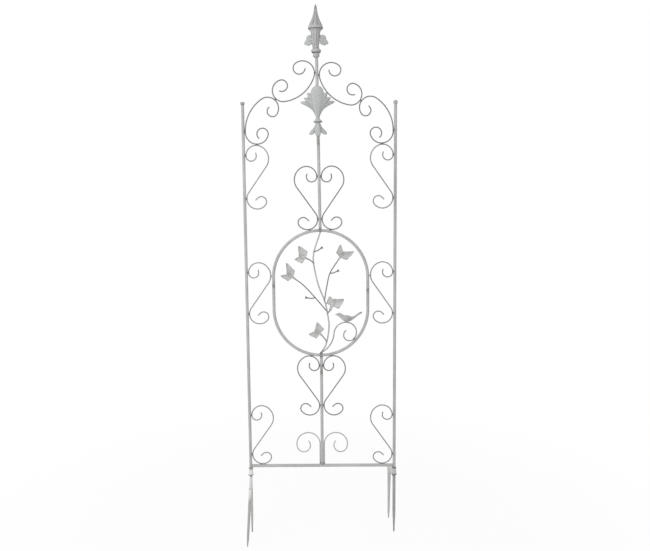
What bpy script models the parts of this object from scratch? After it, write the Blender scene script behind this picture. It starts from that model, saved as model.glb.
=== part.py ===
"""Garden trellis of round tube, square bar, bent wire and castings.

The trellis lies in the XZ plane with its front towards -Y and its four stake tips at z = 0.
All sizes are in metres.
"""

import math

import bmesh
import bpy
import numpy as np
from mathutils import Matrix, Vector

# Clearances
SEAT_GAP = 0.0003

# Stock
TUBE_DIAMETER = 0.010
BAR_SIZE = 0.010
WIRE_DIAMETER = 0.004
VINE_DIAMETER = 0.005
FACET_ERROR = 0.0008

# Ground forks
STAKE_LENGTH = 0.2057
STAKE_DIAMETER = 0.0096
STAKE_TIP_DIAMETER = 0.0044
STAKE_TAPER_LENGTH = 0.070
SPIGOT_DIAMETER = 0.0070
SPIGOT_LENGTH = 0.023
SOCKET_HEIGHT = 0.026
SOCKET_DIAMETER = 0.014
SOCKET_RIM_DIAMETER = 0.0180
SOCKET_RIM_HEIGHT = 0.0035
SOCKET_RUNNING_GAP = 0.0003
CROSSBAR_DROP = 0.0087
CROSSBAR_DIAMETER = 0.0096
FORK_REACH = 0.100
PRONG_TOP_DIAMETER = 0.0120
PRONG_LOW_DIAMETER = 0.0085
PRONG_TIP_DIAMETER = 0.0036
PRONG_POINT_LENGTH = 0.034
LEFT_FORK_TURN = 5.2
RIGHT_FORK_TURN = 4.5
LEFT_PRONG_LEAN = 0.0140
RIGHT_PRONG_LEAN = -0.0025

# Bar and centre rod; the rod above the ring leans a little to the left, with all that it carries
BAR_LIFT = 0.0067
CAP_DIAMETER = 0.0142
LOWER_ROD_LENGTH = 0.3744
UPPER_ROD_LENGTH = 0.2946
FINIAL_ROD_LENGTH = 0.0856
UPPER_LEAN = 0.65

# Oval ring, measured on the centre line of its tube
RING_HALF_WIDTH = 0.1553
RING_HEIGHT = 0.4166
SEAM_GAP = 0.0003

# Side and heart scrolls: hook, curl and shoulder at the top, curl and hook at the foot
SCROLL_END_LENGTH = 0.006
SCROLL_FOOT_END_LENGTH = 0.010
SCROLL_HOOK_RADIUS = 0.0167
SCROLL_CURL_RADIUS = 0.0335
SCROLL_SHOULDER_RADIUS = 0.0440
SCROLL_DIAGONAL = 0.1020
MIDDLE_SCROLL_LIFT = 0.0015
RING_PEG_LENGTH = 0.0021
PEG_DIAMETER = 0.0040

# Arch scrolls
OUTER_ARCH_DROP = 0.1216
OUTER_ARCH_HOOK_RADIUS = 0.0182
OUTER_ARCH_CURL_RADIUS = 0.0371
OUTER_ARCH_SHOULDER_RADIUS = 0.1220
OUTER_ARCH_TOP_RADIUS = 0.0347
OUTER_ARCH_END_RADIUS = 0.0169
UPPER_ARCH_HOOK_RADIUS = 0.0188
UPPER_ARCH_CURL_RADIUS = 0.0379
UPPER_ARCH_FOOT_RADIUS = 0.0341
UPPER_ARCH_END_RADIUS = 0.0180
LEFT_ARCH_CONTACT_ANGLE = 133.0
RIGHT_ARCH_CONTACT_ANGLE = 145.0
UPPER_ARCH_TWIST = 2.3
ARCH_TOUCH_HEIGHT = 0.0362

# Base crooks
CROOK_STEM = 0.0707
CROOK_CURL_RADIUS = 0.0393
CROOK_HOOK_RADIUS = 0.0225

# Vine
STUB_HEIGHT = 0.0050
STUB_SEAT_RISE = 0.0003
PERCH_FOOT_OFFSET = 0.0070
PERCH_SWEEP_RADIUS = 0.0804
PERCH_BACK_RADIUS = 0.0402
PERCH_CURL_RADIUS = 0.0330
PERCH_HOOK_RADIUS = 0.0191
BIG_LEAF_LENGTH = 0.043
BIG_LEAF_WIDTH = 0.0140
SMALL_LEAF_LENGTH = 0.034
SMALL_LEAF_WIDTH = 0.0108
LEAF_SPREAD = 29.0
LEAF_THICKNESS = 0.0011
LEAF_SOCKET_LENGTH = 0.014
TWIG_DIAMETER = 0.0042
TWIG_KNOB_DIAMETER = 0.0074
TWIG_SAG = 0.0022
BIRD_LENGTH = 0.085
BIRD_HEIGHT = 0.0125
BIRD_SETBACK = 0.0050
BIRD_BELLY_FLAT = 0.962

# Plume casting
TULIP_HEIGHT = 0.0455
TULIP_HALF_WIDTH = 0.0285
COLLAR_HEIGHT = 0.0085
COLLAR_DIAMETER = 0.0285
PLUME_HEIGHT = 0.107
PLUME_HALF_WIDTH = 0.0535
PLUME_THICKNESS = 0.0085

# Spear finial
FINIAL_HEIGHT = 0.162
FINIAL_SKIRT_RADIUS = 0.0243
FINIAL_LEAF_REACH = 0.0350


# Scene and materials


def clear_scene():
    for obj in list(bpy.data.objects):
        bpy.data.objects.remove(obj, do_unlink=True)


def painted(name, colour, roughness):
    made = bpy.data.materials.new(name)
    made.use_nodes = True
    shader = made.node_tree.nodes["Principled BSDF"]
    shader.inputs["Base Color"].default_value = (*colour, 1.0)
    shader.inputs["Roughness"].default_value = roughness
    shader.inputs["Metallic"].default_value = 0.2
    made.diffuse_color = (*colour, 1.0)
    return made


def place(obj, material, parent):
    bpy.context.scene.collection.objects.link(obj)
    obj.data.materials.append(material)
    obj.parent = parent
    return obj


def empty(name, location=(0.0, 0.0, 0.0), turn=0.0):
    obj = bpy.data.objects.new(name, None)
    obj.location = location
    obj.rotation_euler = (0.0, 0.0, math.radians(turn))
    bpy.context.scene.collection.objects.link(obj)
    return obj


# Paths in the XZ plane, as arrays of (x, z)


def arc_steps(radius, degrees):
    """An even number of steps that keeps a chord within FACET_ERROR of its arc."""
    widest = 2 * math.acos(1 - FACET_ERROR / radius)
    return 2 * math.ceil(math.radians(abs(degrees)) / widest / 2)


def trace(start, heading, moves):
    """Walk along moves of (radius, degrees), left turns positive; radius 0 is a straight length."""
    points = [np.array(start, float)]
    angle = math.radians(heading)
    for radius, amount in moves:
        if radius == 0:
            points.append(points[-1] + amount * np.array([math.cos(angle), math.sin(angle)]))
            continue
        side = math.copysign(1.0, amount)
        centre = points[-1] + radius * side * np.array([-math.sin(angle), math.cos(angle)])
        steps = arc_steps(radius, amount)
        for step in range(1, steps + 1):
            now = angle + math.radians(amount) * step / steps
            points.append(centre + radius * side * np.array([math.sin(now), -math.cos(now)]))
        angle += math.radians(amount)
    return np.array(points)


def curl_centre(heading, moves, index):
    """Centre of one arc of a path that is traced from the origin."""
    before = trace((0, 0), heading, moves[:index])[-1]
    radius, amount = moves[index]
    angle = math.radians(heading + sum(turned_by for _, turned_by in moves[:index]))
    side = math.copysign(1.0, amount)
    return before + radius * side * np.array([-math.sin(angle), math.cos(angle)])


def smooth(points, steps=5):
    """Catmull-Rom curve through a few points."""
    knots = np.array(points, float)
    ends = np.vstack([2 * knots[0] - knots[1], knots, 2 * knots[-1] - knots[-2]])
    made = [knots[0]]
    for i in range(len(knots) - 1):
        p0, p1, p2, p3 = ends[i : i + 4]
        for step in range(1, steps + 1):
            t = step / steps
            made.append(
                0.5 * (2 * p1 + (p2 - p0) * t + (2 * p0 - 5 * p1 + 4 * p2 - p3) * t**2
                       + (3 * p1 - p0 - 3 * p2 + p3) * t**3)
            )
    return np.array(made)


def distances(points, path):
    """Distance from each point to the nearest stretch of a path."""
    start, step = path[:-1], np.diff(path, axis=0)
    along = ((points[:, None] - start) * step).sum(2) / (step**2).sum(1)
    nearest = start + np.clip(along, 0, 1)[..., None] * step
    return np.linalg.norm(points[:, None] - nearest, axis=2).min(1)


def dense(path, spacing=0.0004):
    """The same path with points at an even close spacing."""
    lengths = np.linalg.norm(np.diff(path, axis=0), axis=1)
    ticks = np.concatenate([[0], np.cumsum(lengths)])
    wanted = np.linspace(0, ticks[-1], int(ticks[-1] / spacing) + 2)
    return np.stack([np.interp(wanted, ticks, path[:, k]) for k in (0, 1)], axis=1)


def start_clear_of(path, other, radius, other_radius):
    """Cut the start of a wire's path off where its end face would be nearer than SEAT_GAP to another wire."""
    fine = dense(path, 0.0001)
    ways = np.diff(other, axis=0)
    ways = ways / np.linalg.norm(ways, axis=1)[:, None]
    nearest = np.linalg.norm((other[1:] + other[:-1]) / 2 - fine[0], axis=1).argmin()
    aim = fine[80] - fine[0]
    along = abs(aim @ ways[nearest]) / np.linalg.norm(aim)
    clear = distances(fine, other) >= other_radius + radius * along + SEAT_GAP
    first = int(np.argmax(clear))
    kept = path[distances(path, fine[: first + 2]) > 0.001]
    return np.vstack([fine[first], kept])


def beside(path, x_seat):
    """Slide a path in X until its least x is at x_seat."""
    return path + np.array([x_seat - path[:, 0].min(), 0.0])


def stand_on(path, z_seat):
    return path + np.array([0.0, z_seat - path[:, 1].min()])


def hang_under(path, z_seat):
    return path + np.array([0.0, z_seat - path[:, 1].max()])


def rest_on_arc(path, centre_z, distance, side):
    """Slide a path in Z until it just clears an arc about (0, centre_z): side 1 above it, -1 below."""
    near = path[np.abs(path[:, 0]) < distance]
    reach = np.sqrt(distance**2 - near[:, 0] ** 2)
    shifts = centre_z + side * reach - near[:, 1]
    return path + np.array([0.0, shifts.max() if side > 0 else shifts.min()])


def lean_in_arc(path, centre_z, distance):
    """Slide a path to +X until it just stays inside an arc about (0, centre_z)."""
    near = path[np.abs(path[:, 1] - centre_z) < distance]
    reach = np.sqrt(distance**2 - (near[:, 1] - centre_z) ** 2)
    return path + np.array([(reach - near[:, 0]).min(), 0.0])


def mirrored(path, side):
    return path * np.array([side, 1.0])


# Scroll shapes


def scroll_path():
    """Side scroll for a post on its left: upper hook and curl, diagonal, lower curl and hook."""
    return trace((0, 0), -75, (
        (0, SCROLL_END_LENGTH),
        (SCROLL_HOOK_RADIUS, -195),
        (SCROLL_CURL_RADIUS, -117),
        (SCROLL_SHOULDER_RADIUS, -98),
        (0, SCROLL_DIAGONAL),
        (SCROLL_CURL_RADIUS, 178),
        (SCROLL_HOOK_RADIUS, 172),
        (0, SCROLL_FOOT_END_LENGTH),
    ))


def outer_arch_moves():
    """C-scroll from the curl beside the post, up over the post's shoulder and down to the inner curl."""
    return (
        (OUTER_ARCH_HOOK_RADIUS, 249),
        (OUTER_ARCH_CURL_RADIUS, 162),
        (OUTER_ARCH_SHOULDER_RADIUS, 58),
        (OUTER_ARCH_TOP_RADIUS, 156),
        (OUTER_ARCH_END_RADIUS, 205),
    )


def upper_arch_moves(sweep):
    """C-scroll from the curl beside the rod, down a long sweep to the curl on the outer arch."""
    return (
        (UPPER_ARCH_HOOK_RADIUS, 234),
        (UPPER_ARCH_CURL_RADIUS, 144),
        (sweep, 64),
        (UPPER_ARCH_FOOT_RADIUS, 172),
        (UPPER_ARCH_END_RADIUS, 222),
    )


def upper_arch_span(heading, sweep):
    """Distance in X from the side that leans on the rod to the centre of the foot curl."""
    moves = upper_arch_moves(sweep)
    side = curl_centre(heading, moves, 1)[0] - UPPER_ARCH_CURL_RADIUS
    return curl_centre(heading, moves, 3)[0] - side


def leaned(points, way=1):
    """Turn points about the ring's top by the lean of the upper rod; way -1 turns them back."""
    angle = way * math.radians(UPPER_LEAN)
    turn = np.array([[math.cos(angle), math.sin(angle)], [-math.sin(angle), math.cos(angle)]])
    pivot = np.array([0.0, RING_TOP])
    return (np.asarray(points) - pivot) @ turn + pivot


def outer_arch_shift(post_top):
    """Shift that leans the right outer arch on its post, with its foot a set drop below the post's top."""
    path = trace((0, 0), 37, outer_arch_moves())
    return np.array([POST_SEAT_X - path[:, 0].max(), post_top - OUTER_ARCH_DROP - path[:, 1].min()])


def upper_arch(side, post_top):
    """One upper arch: its foot curl lies on the outer arch's top curl, and its sweep reaches to the rod.
    Returns its path and the height up the rod at which it touches."""
    contact = math.radians(LEFT_ARCH_CONTACT_ANGLE if side < 0 else RIGHT_ARCH_CONTACT_ANGLE)
    heading = -90 - side * UPPER_ARCH_TWIST
    outer_centre = curl_centre(37, outer_arch_moves(), 3) + outer_arch_shift(post_top)
    outer_centre = mirrored(leaned(mirrored(outer_centre, side), -1), side)
    spacing = OUTER_ARCH_TOP_RADIUS + UPPER_ARCH_FOOT_RADIUS + WIRE_DIAMETER + SEAT_GAP
    foot = outer_centre + spacing * np.array([math.cos(contact), math.sin(contact)])
    per_sweep = upper_arch_span(heading, 2.0) - upper_arch_span(heading, 1.0)
    sweep = 1.0 + (foot[0] - ROD_SEAT_X - upper_arch_span(heading, 1.0)) / per_sweep
    moves = upper_arch_moves(sweep)
    shift = foot - curl_centre(heading, moves, 3)
    path = leaned(mirrored(trace((0, 0), heading, moves) + shift, side))
    return path, curl_centre(heading, moves, 1)[1] + shift[1]


def touch_height(post_top):
    """Mean height up the rod at which the two upper arches touch it."""
    return (upper_arch(-1, post_top)[1] + upper_arch(1, post_top)[1]) / 2


# Derived places
TUBE_RADIUS = TUBE_DIAMETER / 2
WIRE_RADIUS = WIRE_DIAMETER / 2
SCROLL_WIDTH = np.ptp(scroll_path()[:, 0]) + WIRE_DIAMETER
POST_X = RING_HALF_WIDTH + TUBE_RADIUS + RING_PEG_LENGTH + SCROLL_WIDTH + SEAT_GAP + TUBE_RADIUS
POST_SEAT_X = POST_X - TUBE_RADIUS - WIRE_RADIUS - SEAT_GAP
ROD_SEAT_X = TUBE_RADIUS + WIRE_RADIUS + SEAT_GAP
CROSSBAR_Z = STAKE_LENGTH - CROSSBAR_DROP
SOCKET_BASE = STAKE_LENGTH + SEAT_GAP
POST_BASE = SOCKET_BASE + SOCKET_HEIGHT + SEAT_GAP
BAR_CENTRE = POST_BASE + BAR_LIFT
BAR_TOP = BAR_CENTRE + BAR_SIZE / 2
LOWER_ROD_BASE = BAR_TOP + SEAT_GAP
RING_BOTTOM = LOWER_ROD_BASE + LOWER_ROD_LENGTH + SEAT_GAP + TUBE_RADIUS
RING_TOP = RING_BOTTOM + RING_HEIGHT
RING_MIDDLE = (RING_TOP + RING_BOTTOM) / 2
RING_UPPER_CENTRE = RING_TOP - RING_HALF_WIDTH
RING_LOWER_CENTRE = RING_BOTTOM + RING_HALF_WIDTH
STUB_BASE = RING_BOTTOM + TUBE_RADIUS + SEAT_GAP + STUB_SEAT_RISE
UPPER_ROD_BASE = RING_TOP + TUBE_RADIUS + SEAT_GAP
PLUME_BASE = UPPER_ROD_BASE + UPPER_ROD_LENGTH + SEAT_GAP
PLUME_TOP = PLUME_BASE + TULIP_HEIGHT + COLLAR_HEIGHT + PLUME_HEIGHT
FINIAL_ROD_BASE = PLUME_TOP + SEAT_GAP
FINIAL_BASE = FINIAL_ROD_BASE + FINIAL_ROD_LENGTH + SEAT_GAP

# The posts end where the upper arches, set on the outer ones, touch the rod just above the plume
TOUCH_PER_METRE = touch_height(1.0) - touch_height(0.0)
POST_TOP = (PLUME_TOP + ARCH_TOUCH_HEIGHT - touch_height(0.0)) / TOUCH_PER_METRE
POST_LENGTH = POST_TOP - POST_BASE


# Solids


def wire(name, path, diameter, material, parent, sides=6, swell=None):
    """Round wire along a path: a bevelled curve with capped ends, thicker where swell says so."""
    data = bpy.data.curves.new(name, "CURVE")
    data.dimensions = "3D"
    data.twist_mode = "MINIMUM"
    data.bevel_depth = diameter / 2
    data.bevel_resolution = (sides - 4) // 2
    data.use_fill_caps = True
    spline = data.splines.new("POLY")
    spline.points.add(len(path) - 1)
    for i, (x, z) in enumerate(path):
        spline.points[i].co = (x, 0.0, z, 1.0)
        spline.points[i].radius = 1.0 if swell is None else swell[i]
    return place(bpy.data.objects.new(name, data), material, parent)


def mesh_object(name, shape, material, parent):
    data = bpy.data.meshes.new(name)
    bmesh.ops.recalc_face_normals(shape, faces=shape.faces)
    shape.to_mesh(data)
    shape.free()
    data.shade_smooth()
    data.set_sharp_from_angle(angle=math.radians(40))
    return place(bpy.data.objects.new(name, data), material, parent)


def turned(profile, sides, flute=None):
    """Closed body of revolution about Z from (radius, z) pairs; flute(z, angle) scales a radius."""
    shape = bmesh.new()
    rings = []
    for radius, z in profile:
        if radius == 0:
            rings.append([shape.verts.new((0, 0, z))])
            continue
        ring = []
        for k in range(sides):
            angle = 2 * math.pi * k / sides
            r = radius * (flute(z, angle) if flute else 1.0)
            ring.append(shape.verts.new((r * math.cos(angle), r * math.sin(angle), z)))
        rings.append(ring)
    for low, high in zip(rings, rings[1:] + rings[:1]):
        join_rings(shape, low, high)
    return shape


def join_rings(shape, low, high):
    if len(low) == 1 and len(high) == 1:
        return
    count = max(len(low), len(high))
    for k in range(count):
        corners = [low[k % len(low)], low[(k + 1) % len(low)]] if len(low) > 1 else [low[0]]
        corners += [high[(k + 1) % len(high)], high[k % len(high)]] if len(high) > 1 else [high[0]]
        shape.faces.new(corners)


def rod_profile(radius, low, high):
    return [(0, low), (radius, low), (radius, high), (0, high)]


def along_x(shape, start, z):
    """Lay a shape built along Z on its side, from x = start."""
    bmesh.ops.rotate(shape, verts=shape.verts, matrix=Matrix.Rotation(math.pi / 2, 3, "Y"))
    bmesh.ops.translate(shape, verts=shape.verts, vec=(start, 0, z))
    return shape


def plate(x, z, y, half_thickness):
    """Closed casting from grids of x, z, middle y and half thickness, with a rim round its edge."""
    shape = bmesh.new()
    rows, columns = x.shape
    sides = []
    for depth in (y - half_thickness, y + half_thickness):
        sides.append([
            [shape.verts.new((x[i, j], depth[i, j], z[i, j])) for j in range(columns)]
            for i in range(rows)
        ])
    for grid in sides:
        for i in range(rows - 1):
            for j in range(columns - 1):
                shape.faces.new((grid[i][j], grid[i][j + 1], grid[i + 1][j + 1], grid[i + 1][j]))
    front, back = (edge_loop(grid) for grid in sides)
    for k in range(len(front)):
        n = (k + 1) % len(front)
        shape.faces.new((front[k], front[n], back[n], back[k]))
    return shape


def edge_loop(grid):
    """The vertices round the edge of a grid, in order."""
    right = [row[-1] for row in grid[1:]]
    left = [row[0] for row in grid[-2:0:-1]]
    return [*grid[0], *right, *grid[-1][-2::-1], *left]


def helper(name, shape):
    """A hidden solid that a Boolean reads."""
    data = bpy.data.meshes.new(name)
    bmesh.ops.recalc_face_normals(shape, faces=shape.faces)
    shape.to_mesh(data)
    shape.free()
    obj = bpy.data.objects.new(name, data)
    bpy.context.scene.collection.objects.link(obj)
    obj.hide_render = True
    obj.display_type = "WIRE"
    return obj


def united(obj, shapes):
    for k, shape in enumerate(shapes):
        joined = obj.modifiers.new(f"join_{k}", "BOOLEAN")
        joined.operation = "UNION"
        joined.object = helper(f"{obj.name}_join_{k}", shape)
        joined.object.location = obj.location
        joined.object.rotation_euler = obj.rotation_euler
    return obj


def lean(obj):
    """Turn an object about the ring's top, with the upper rod."""
    angle = math.radians(UPPER_LEAN)
    obj.rotation_euler = (0.0, -angle, 0.0)
    obj.location = (RING_TOP * math.sin(angle), 0.0, RING_TOP * (1 - math.cos(angle)))
    return obj


# Frame


def make_posts(material, frame):
    for name, side in (("left", -1), ("right", 1)):
        post = turned(rod_profile(TUBE_RADIUS, POST_BASE, POST_TOP), 16)
        obj = mesh_object(f"{name}_post", post, material, frame)
        obj.location.x = side * POST_X
        ball = CAP_DIAMETER / 2
        flat = ball * 0.55
        drop = math.sqrt(ball**2 - flat**2)
        base = POST_TOP + SEAT_GAP
        profile = [(0, base), (flat, base)]
        start = math.asin(-drop / ball)
        for k in range(1, 6):
            angle = start + (math.pi / 2 - start) * k / 6
            profile.append((ball * math.cos(angle), base + drop + ball * math.sin(angle)))
        profile.append((0, base + drop + ball))
        cap = mesh_object(f"{name}_post_cap", turned(profile, 12), material, frame)
        cap.location.x = side * POST_X


def make_bottom_bar(material, frame):
    shape = bmesh.new()
    half = POST_X - TUBE_RADIUS - SEAT_GAP
    bmesh.ops.create_cube(shape, size=1.0)
    bmesh.ops.scale(shape, verts=shape.verts, vec=(2 * half, BAR_SIZE, BAR_SIZE))
    bmesh.ops.translate(shape, verts=shape.verts, vec=(0, 0, BAR_CENTRE))
    mesh_object("bottom_bar", shape, material, frame)


def make_centre_rods(material, frame):
    rods = (
        ("lower_centre_rod", LOWER_ROD_BASE, LOWER_ROD_LENGTH),
        ("upper_centre_rod", UPPER_ROD_BASE, UPPER_ROD_LENGTH),
        ("finial_rod", FINIAL_ROD_BASE, FINIAL_ROD_LENGTH),
    )
    for name, base, length in rods:
        rod = mesh_object(name, turned(rod_profile(TUBE_RADIUS, base, base + length), 16), material, frame)
        if base > RING_TOP:
            lean(rod)


def make_ring(material, frame):
    """Two U-shaped halves that meet at seams half-way up the sides."""
    leg = RING_HEIGHT / 2 - RING_HALF_WIDTH - SEAM_GAP / 2
    half = ((0, leg), (RING_HALF_WIDTH, 180), (0, leg))
    upper = trace((RING_HALF_WIDTH, RING_MIDDLE + SEAM_GAP / 2), 90, half)
    lower = trace((-RING_HALF_WIDTH, RING_MIDDLE - SEAM_GAP / 2), -90, half)
    wire("ring_upper_half", upper, TUBE_DIAMETER, material, frame, sides=10)
    wire("ring_lower_half", lower, TUBE_DIAMETER, material, frame, sides=10)


# Scrolls


def make_side_scrolls(material, frame):
    path = beside(scroll_path(), -POST_SEAT_X)
    lower = stand_on(path, BAR_TOP + SEAT_GAP + WIRE_RADIUS)
    upper = hang_under(path, POST_TOP - OUTER_ARCH_DROP - WIRE_DIAMETER - SEAT_GAP)
    lift = RING_MIDDLE + MIDDLE_SCROLL_LIFT - (path[:, 1].max() + path[:, 1].min()) / 2
    middle = path + np.array([0, lift])
    for level, path in (("lower", lower), ("middle", middle), ("upper", upper)):
        for name, side in (("left", 1), ("right", -1)):
            wire(f"{level}_{name}_side_scroll", mirrored(path, side), WIRE_DIAMETER, material, frame)
    make_pegs(material, frame, middle)


def make_pegs(material, frame, scroll):
    """Short pegs from the middle scrolls to the ring, at the widest point of the upper curl."""
    upper = scroll[scroll[:, 1] > RING_MIDDLE]
    inner = upper[upper[:, 0].argmax()]
    low = inner[0] + WIRE_RADIUS
    high = -ring_side(inner[1]) - TUBE_RADIUS
    for name, side in (("left", 1), ("right", -1)):
        peg = turned(rod_profile(PEG_DIAMETER / 2, 0, high - low - 2 * SEAT_GAP), 8)
        start = low + SEAT_GAP if side > 0 else -high + SEAT_GAP
        mesh_object(f"{name}_ring_peg", along_x(peg, start, inner[1]), material, frame)


def ring_side(z):
    """Half width of the ring's centre line at height z."""
    over = max(z - RING_UPPER_CENTRE, RING_LOWER_CENTRE - z, 0.0)
    return math.sqrt(RING_HALF_WIDTH**2 - over**2)


def make_heart_scrolls(material, frame):
    path = beside(scroll_path(), ROD_SEAT_X)
    reach = RING_HALF_WIDTH + TUBE_RADIUS + WIRE_RADIUS + SEAT_GAP
    upper = rest_on_arc(path, RING_UPPER_CENTRE, reach, 1)
    lower = rest_on_arc(path, RING_LOWER_CENTRE, reach, -1)
    for name, side in (("left", -1), ("right", 1)):
        tilted = rest_on_arc(leaned(mirrored(upper, side)), RING_UPPER_CENTRE, reach, 1)
        wire(f"upper_{name}_heart_scroll", tilted, WIRE_DIAMETER, material, frame)
        wire(f"lower_{name}_heart_scroll", mirrored(lower, side), WIRE_DIAMETER, material, frame)


def make_arch_scrolls(material, frame):
    outer = trace((0, 0), 37, outer_arch_moves()) + outer_arch_shift(POST_TOP)
    for name, side in (("left", -1), ("right", 1)):
        wire(f"{name}_outer_arch_scroll", mirrored(outer, side), WIRE_DIAMETER, material, frame)
        wire(f"{name}_upper_arch_scroll", upper_arch(side, POST_TOP)[0], WIRE_DIAMETER, material, frame)


def make_base_crooks(material, frame):
    path = trace((0, 0), 90, ((0, CROOK_STEM), (CROOK_CURL_RADIUS, -200), (CROOK_HOOK_RADIUS, -206)))
    path = beside(path, ROD_SEAT_X) + np.array([0, BAR_TOP + SEAT_GAP])
    for name, side in (("left", -1), ("right", 1)):
        wire(f"{name}_base_crook", mirrored(path, side), WIRE_DIAMETER, material, frame)


# Vine


def make_vine(material, cast, frame):
    slant_room = VINE_DIAMETER / 4
    low = STUB_BASE + STUB_HEIGHT + SEAT_GAP + slant_room
    high = RING_TOP - TUBE_RADIUS - SEAT_GAP - slant_room
    stub = turned(rod_profile(TUBE_RADIUS, STUB_BASE, STUB_BASE + STUB_HEIGHT), 12)
    mesh_object("vine_base_stub", stub, material, frame)
    bends = in_ring(
        (0.176, -0.556), (0.142, -0.325), (0.081, -0.118), (-0.054, 0.148), (-0.149, 0.487), (-0.135, 0.689),
    )
    main = smooth(((0.001, low), (0.017, low + 0.029), *bends, (0.001, high)), 3)
    wire("vine_main_stem", main, VINE_DIAMETER, material, frame)
    make_branches(main, material, cast, frame)
    make_perch(main, low, material, cast, frame)


def in_ring(*shares):
    """Points given as shares of the ring's inner half width and half height, from its middle."""
    half = (RING_HALF_WIDTH - TUBE_RADIUS, RING_HEIGHT / 2 - TUBE_RADIUS)
    return [(u * half[0], RING_MIDDLE + v * half[1]) for u, v in shares]


def make_branches(main, material, cast, frame):
    stem = VINE_DIAMETER / 2
    left = smooth(in_ring((0.122, -0.285), (-0.135, -0.059), (-0.372, 0.133), (-0.568, 0.246)), 4)
    right = smooth(in_ring((0.081, -0.118), (0.128, 0.089), (0.209, 0.334), (0.405, 0.561)), 4)
    short = smooth(in_ring((0.149, -0.325), (0.196, -0.285), (0.230, -0.226)), 3)
    upper = smooth(in_ring((-0.149, 0.497), (-0.216, 0.541), (-0.284, 0.566)), 3)
    lower = smooth(in_ring((0.128, -0.807), (0.061, -0.733), (0.007, -0.689)), 3)
    stems = (
        ("vine_left_branch", left, "left_leaf_pair"),
        ("vine_right_branch", right, "right_leaf_pair"),
        ("vine_short_branch", short, "lower_right_leaf_pair"),
        ("upper_left_leaf_stem", upper, "upper_left_leaf_pair"),
        ("lower_left_leaf_stem", lower, "lower_left_leaf_pair"),
    )
    pair = leaf_pair_mesh()
    for name, path, leaf in stems:
        wire(name, start_clear_of(path, main, WIRE_RADIUS, stem), WIRE_DIAMETER, material, frame)
        aim = (path[-1] - path[-2]) / np.linalg.norm(path[-1] - path[-2])
        tip = path[-1] + aim * SEAT_GAP
        obj = place(bpy.data.objects.new(leaf, pair), cast, frame)
        obj.location = (tip[0], 0, tip[1])
        obj.rotation_euler = (0, -math.atan2(aim[1], aim[0]), 0)
    twigs = (
        ("upper_bud_twig", main, in_ring((-0.135, 0.684), (0.015, 0.736))),
        ("right_bud_twig", right, in_ring((0.203, 0.330), (0.363, 0.362))),
        ("left_bud_twig", left, in_ring((-0.122, -0.069), (-0.300, -0.070))),
    )
    for name, other, (start, end) in twigs:
        make_twig(name, other, stem if other is main else WIRE_RADIUS, start, end, material, frame)


def make_twig(name, stem, stem_radius, start, end, material, frame):
    """Short twig that sags a little and ends in a knob."""
    middle = ((start[0] + end[0]) / 2, (start[1] + end[1]) / 2 - TWIG_SAG)
    path = start_clear_of(smooth((start, middle, end), 4), stem, TWIG_DIAMETER / 2, stem_radius)
    aim = (path[-1] - path[-2]) / np.linalg.norm(path[-1] - path[-2])
    knob = TWIG_KNOB_DIAMETER
    path = np.vstack([path, *(path[-1] + aim * knob * k for k in (0.15, 0.5, 0.85, 1.0))])
    swell = np.ones(len(path))
    swell[-4:] = np.array([0.8, 1.0, 0.8, 0.4]) * knob / TWIG_DIAMETER
    wire(name, path, TWIG_DIAMETER, material, frame, swell=swell)


def leaf_blade(length, half_width, angle, cup):
    """Ribbed leaf blade that starts at the origin and points along angle."""
    s = np.linspace(0, 1, 7)[:, None]
    v = np.array([-1, -0.5, 0, 0.5, 1])[None, :]
    lobes = 1 + 0.10 * np.cos(3 * np.pi * s) * (s < 0.9)
    spread = half_width * (0.16 + np.sin(np.pi * s**1.1) ** 0.9 * lobes) * (1 - s**7 * 0.9)
    along = length * (s + 0.10 * (1 - np.abs(v)) * s)
    across = spread * v
    rib = 0.35 * LEAF_THICKNESS * np.cos(2 * np.pi * v)
    thick = LEAF_THICKNESS + rib + 0 * s
    bow = cup * (np.abs(v) ** 1.5) * spread - 0.004 * np.sin(np.pi * s) + 0 * v
    turn = math.radians(angle)
    x = along * math.cos(turn) - across * math.sin(turn)
    z = along * math.sin(turn) + across * math.cos(turn)
    return plate(x, z, bow, thick)


def leaf_pair_mesh():
    """One casting used five times: a tapered socket, a big blade to its right and a small one to its left."""
    reach = LEAF_SOCKET_LENGTH
    base = turned(((0, 0), (0.0026, 0), (0.0040, 0.55 * reach), (0.0034, reach), (0, reach)), 8)
    bmesh.ops.rotate(base, verts=base.verts, matrix=Matrix.Rotation(math.pi / 2, 3, "Y"))
    stock = painted("unused_leaf", (0.5, 0.5, 0.5), 0.5)
    holder = mesh_object("leaf_pair_pattern", base, stock, None)
    big = leaf_blade(BIG_LEAF_LENGTH, BIG_LEAF_WIDTH, -LEAF_SPREAD, -0.35)
    small = leaf_blade(SMALL_LEAF_LENGTH, SMALL_LEAF_WIDTH, LEAF_SPREAD, -0.35)
    for blade in (big, small):
        bmesh.ops.translate(blade, verts=blade.verts, vec=(0.6 * reach, 0, 0))
    united(holder, (big, small))
    holder.hide_render = True
    graph = bpy.context.evaluated_depsgraph_get()
    data = bpy.data.meshes.new_from_object(holder.evaluated_get(graph))
    data.name = "leaf_pair"
    data.materials.clear()
    for obj in [holder, *(m.object for m in holder.modifiers)]:
        bpy.data.objects.remove(obj, do_unlink=True)
    return data


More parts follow.
